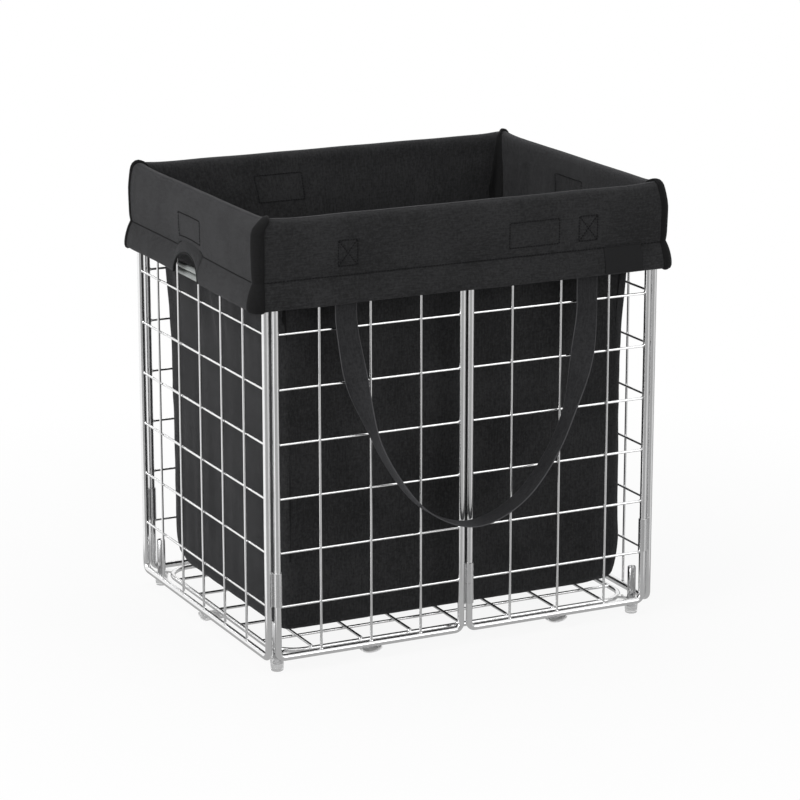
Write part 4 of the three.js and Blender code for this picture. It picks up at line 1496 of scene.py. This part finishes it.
def patch_shape():
    """A folded woven patch sewn in at the hem line; it follows the hem's bulge."""
    shape = Shape()
    levels = np.linspace(HEM_LEVEL - 0.6, OUTER_END - 1.6, 18)
    front, back = [], []
    for share in np.linspace(-1, 1, 15):
        run = run_of(0, LABEL_PLACE + share * LABEL_HALF)
        row, under = [], []
        for place, level in enumerate(levels):
            point, normal = on_cuff(run, float(level))
            fold = 0.5 * MM * math.exp(-place / 1.5)
            puff = 0.25 * MM * smooth_noise(share * 1.4, place / 6, 4.2)
            row.append(point + normal * (0.95 * MM + fold + puff))
            under.append(point + normal * 0.35 * MM)
        front.append(row)
        back.append(under)
    rows = [f + b[::-1] for f, b in zip(front, back)]
    shape.tube(rows, us=np.linspace(0, 2 * LABEL_HALF, 16), vs=np.linspace(0, 60 * MM, len(rows[0]) + 1))
    return shape


dress(patch_shape().made("hem_patch", [patch]), "liner_front_right", "label_patch")


# Stage, lights and camera

def blank_tree(owner):
    owner.use_nodes = True
    owner.node_tree.nodes.clear()
    return owner.node_tree


def plainly_seen(tree):
    """(1 for rays from the camera, from gloss and through clear plastic, 1 for rays from the camera)."""
    rays = add_node(tree, "ShaderNodeLightPath").outputs
    seen = maths(tree, "MAXIMUM", rays["Is Camera Ray"], rays["Is Glossy Ray"])
    return maths(tree, "MAXIMUM", seen, rays["Is Transmission Ray"]), rays["Is Camera Ray"]


def floor_material():
    """Pale floor: white to the camera, with a soft shadow near the hamper."""
    material = bpy.data.materials.new("pale_floor")
    tree = blank_tree(material)
    seen, direct = plainly_seen(tree)
    where = add_node(tree, "ShaderNodeTexCoord").outputs["Object"]
    away = add_node(tree, "ShaderNodeVectorMath", {0: where}, operation="LENGTH").outputs["Value"]
    near = ramped(tree, away, 0.3, 1.0, 1.0, 0.0)
    plain = maths(tree, "MULTIPLY", near, maths(tree, "MULTIPLY_ADD", direct, -0.71, 0.8))
    share = maths(tree, "MULTIPLY", seen, maths(tree, "SUBTRACT", 1.0, plain))
    diffuse = add_node(tree, "ShaderNodeBsdfDiffuse", {"Color": grey(0.86)}).outputs[0]
    glow = add_node(tree, "ShaderNodeEmission", {"Color": grey(1.0), "Strength": 1.0}).outputs[0]
    surface = add_node(tree, "ShaderNodeMixShader", {0: share, 1: diffuse, 2: glow}).outputs[0]
    add_node(tree, "ShaderNodeOutputMaterial", {"Surface": surface})
    return material


floor = Shape()
floor.grid([[(-14, -14, 0), (-14, 14, 0)], [(14, -14, 0), (14, 14, 0)]])
floor_piece = floor.made("floor", [floor_material()])
floor_piece.visible_glossy = False

world = bpy.data.worlds.new("studio")
bpy.context.scene.world = world
tree = blank_tree(world)
seen, _ = plainly_seen(tree)
plain, white = (
    add_node(tree, "ShaderNodeBackground", {"Color": grey(1.0), "Strength": strength}).outputs[0]
    for strength in (0.3, 1.0)
)
either = add_node(tree, "ShaderNodeMixShader", {0: seen, 1: plain, 2: white}).outputs[0]
add_node(tree, "ShaderNodeOutputWorld", {"Surface": either})


def only_gloss(shape, name, level):
    """Makes a glowing grey piece of stage that only gloss sees."""
    material = bpy.data.materials.new(name)
    tree = blank_tree(material)
    glow = add_node(tree, "ShaderNodeEmission", {"Color": grey(level), "Strength": 1.0}).outputs[0]
    add_node(tree, "ShaderNodeOutputMaterial", {"Surface": glow})
    piece = shape.made(name, [material])
    for ray in ("camera", "diffuse", "transmission", "volume_scatter", "shadow"):
        setattr(piece, "visible_" + ray, False)


# What the steel mirrors: curved cards between two compass angles (0 is the front, + to the right),
# which reach below the floor, because gloss doesn't see it, and a disc under the hamper, whose grey is
# painted shade: it stands in for the floor's shadow there, as the steel mirrors it
CARD_DISTANCE = 5.2
CARD_LOW = -3.0
for name, start, end, high, level in (
    ("grey_card_front", -66, 20, 3.6, 0.38), ("pale_card_right", 20, 60, 3.6, 0.72),
    ("grey_card_right", 60, 118, 3.0, 0.45),
):
    turns = np.radians(np.linspace(start, end, 25))
    card = Shape()
    card.grid([
        [(CARD_DISTANCE * math.sin(t), -CARD_DISTANCE * math.cos(t), z) for t in turns]
        for z in (CARD_LOW, high)
    ])
    only_gloss(card, name, level)
# The disc's grey is a painted reflection of the floor's shadow under the hamper
disc = Shape()
disc.add([(0.45 * math.cos(t), 0.45 * math.sin(t), 0.0004) for t in circle(36)], [], [])
disc.close(range(36))
only_gloss(disc, "floor_shade_disc", 0.42)

for name, place, size, power in (
    ("key", (-2.3, -0.7, 1.5), (1.3, 1.6), 40), ("fill", (1.4, -2.4, 1.2), (1.4, 1.4), 12),
    ("top", (0.2, 0.3, 2.6), (1.6, 1.6), 16),
):
    lamp = bpy.data.lights.new(name, "AREA")
    lamp.shape = "RECTANGLE"
    lamp.size, lamp.size_y = size
    lamp.energy = power
    holder = bpy.data.objects.new(name, lamp)
    holder.location = place
    holder.rotation_euler = (Vector((0, 0, 0.25)) - Vector(place)).to_track_quat("-Z", "Y").to_euler()
    bpy.context.scene.collection.objects.link(holder)

PHOTO_WIDTH = 800
FOCAL_PIXELS = 3129.3
SENSOR = 36
AZIMUTH, ELEVATION = math.radians(-26.24), math.radians(14.783)
AIM = Vector((0.00919, 0.0, 0.24788))
DISTANCE = 3.7435
back = Vector((
    math.sin(AZIMUTH) * math.cos(ELEVATION), -math.cos(AZIMUTH) * math.cos(ELEVATION), math.sin(ELEVATION),
))
camera = bpy.data.objects.new("camera", bpy.data.cameras.new("camera"))
camera.data.sensor_width = SENSOR
camera.data.lens = FOCAL_PIXELS / PHOTO_WIDTH * SENSOR
camera.data.clip_end = 100
camera.location = AIM + back * DISTANCE
camera.rotation_euler = (-back).to_track_quat("-Z", "Y").to_euler()
bpy.context.scene.collection.objects.link(camera)
bpy.context.scene.camera = camera
bpy.context.scene.view_settings.view_transform = "Standard"
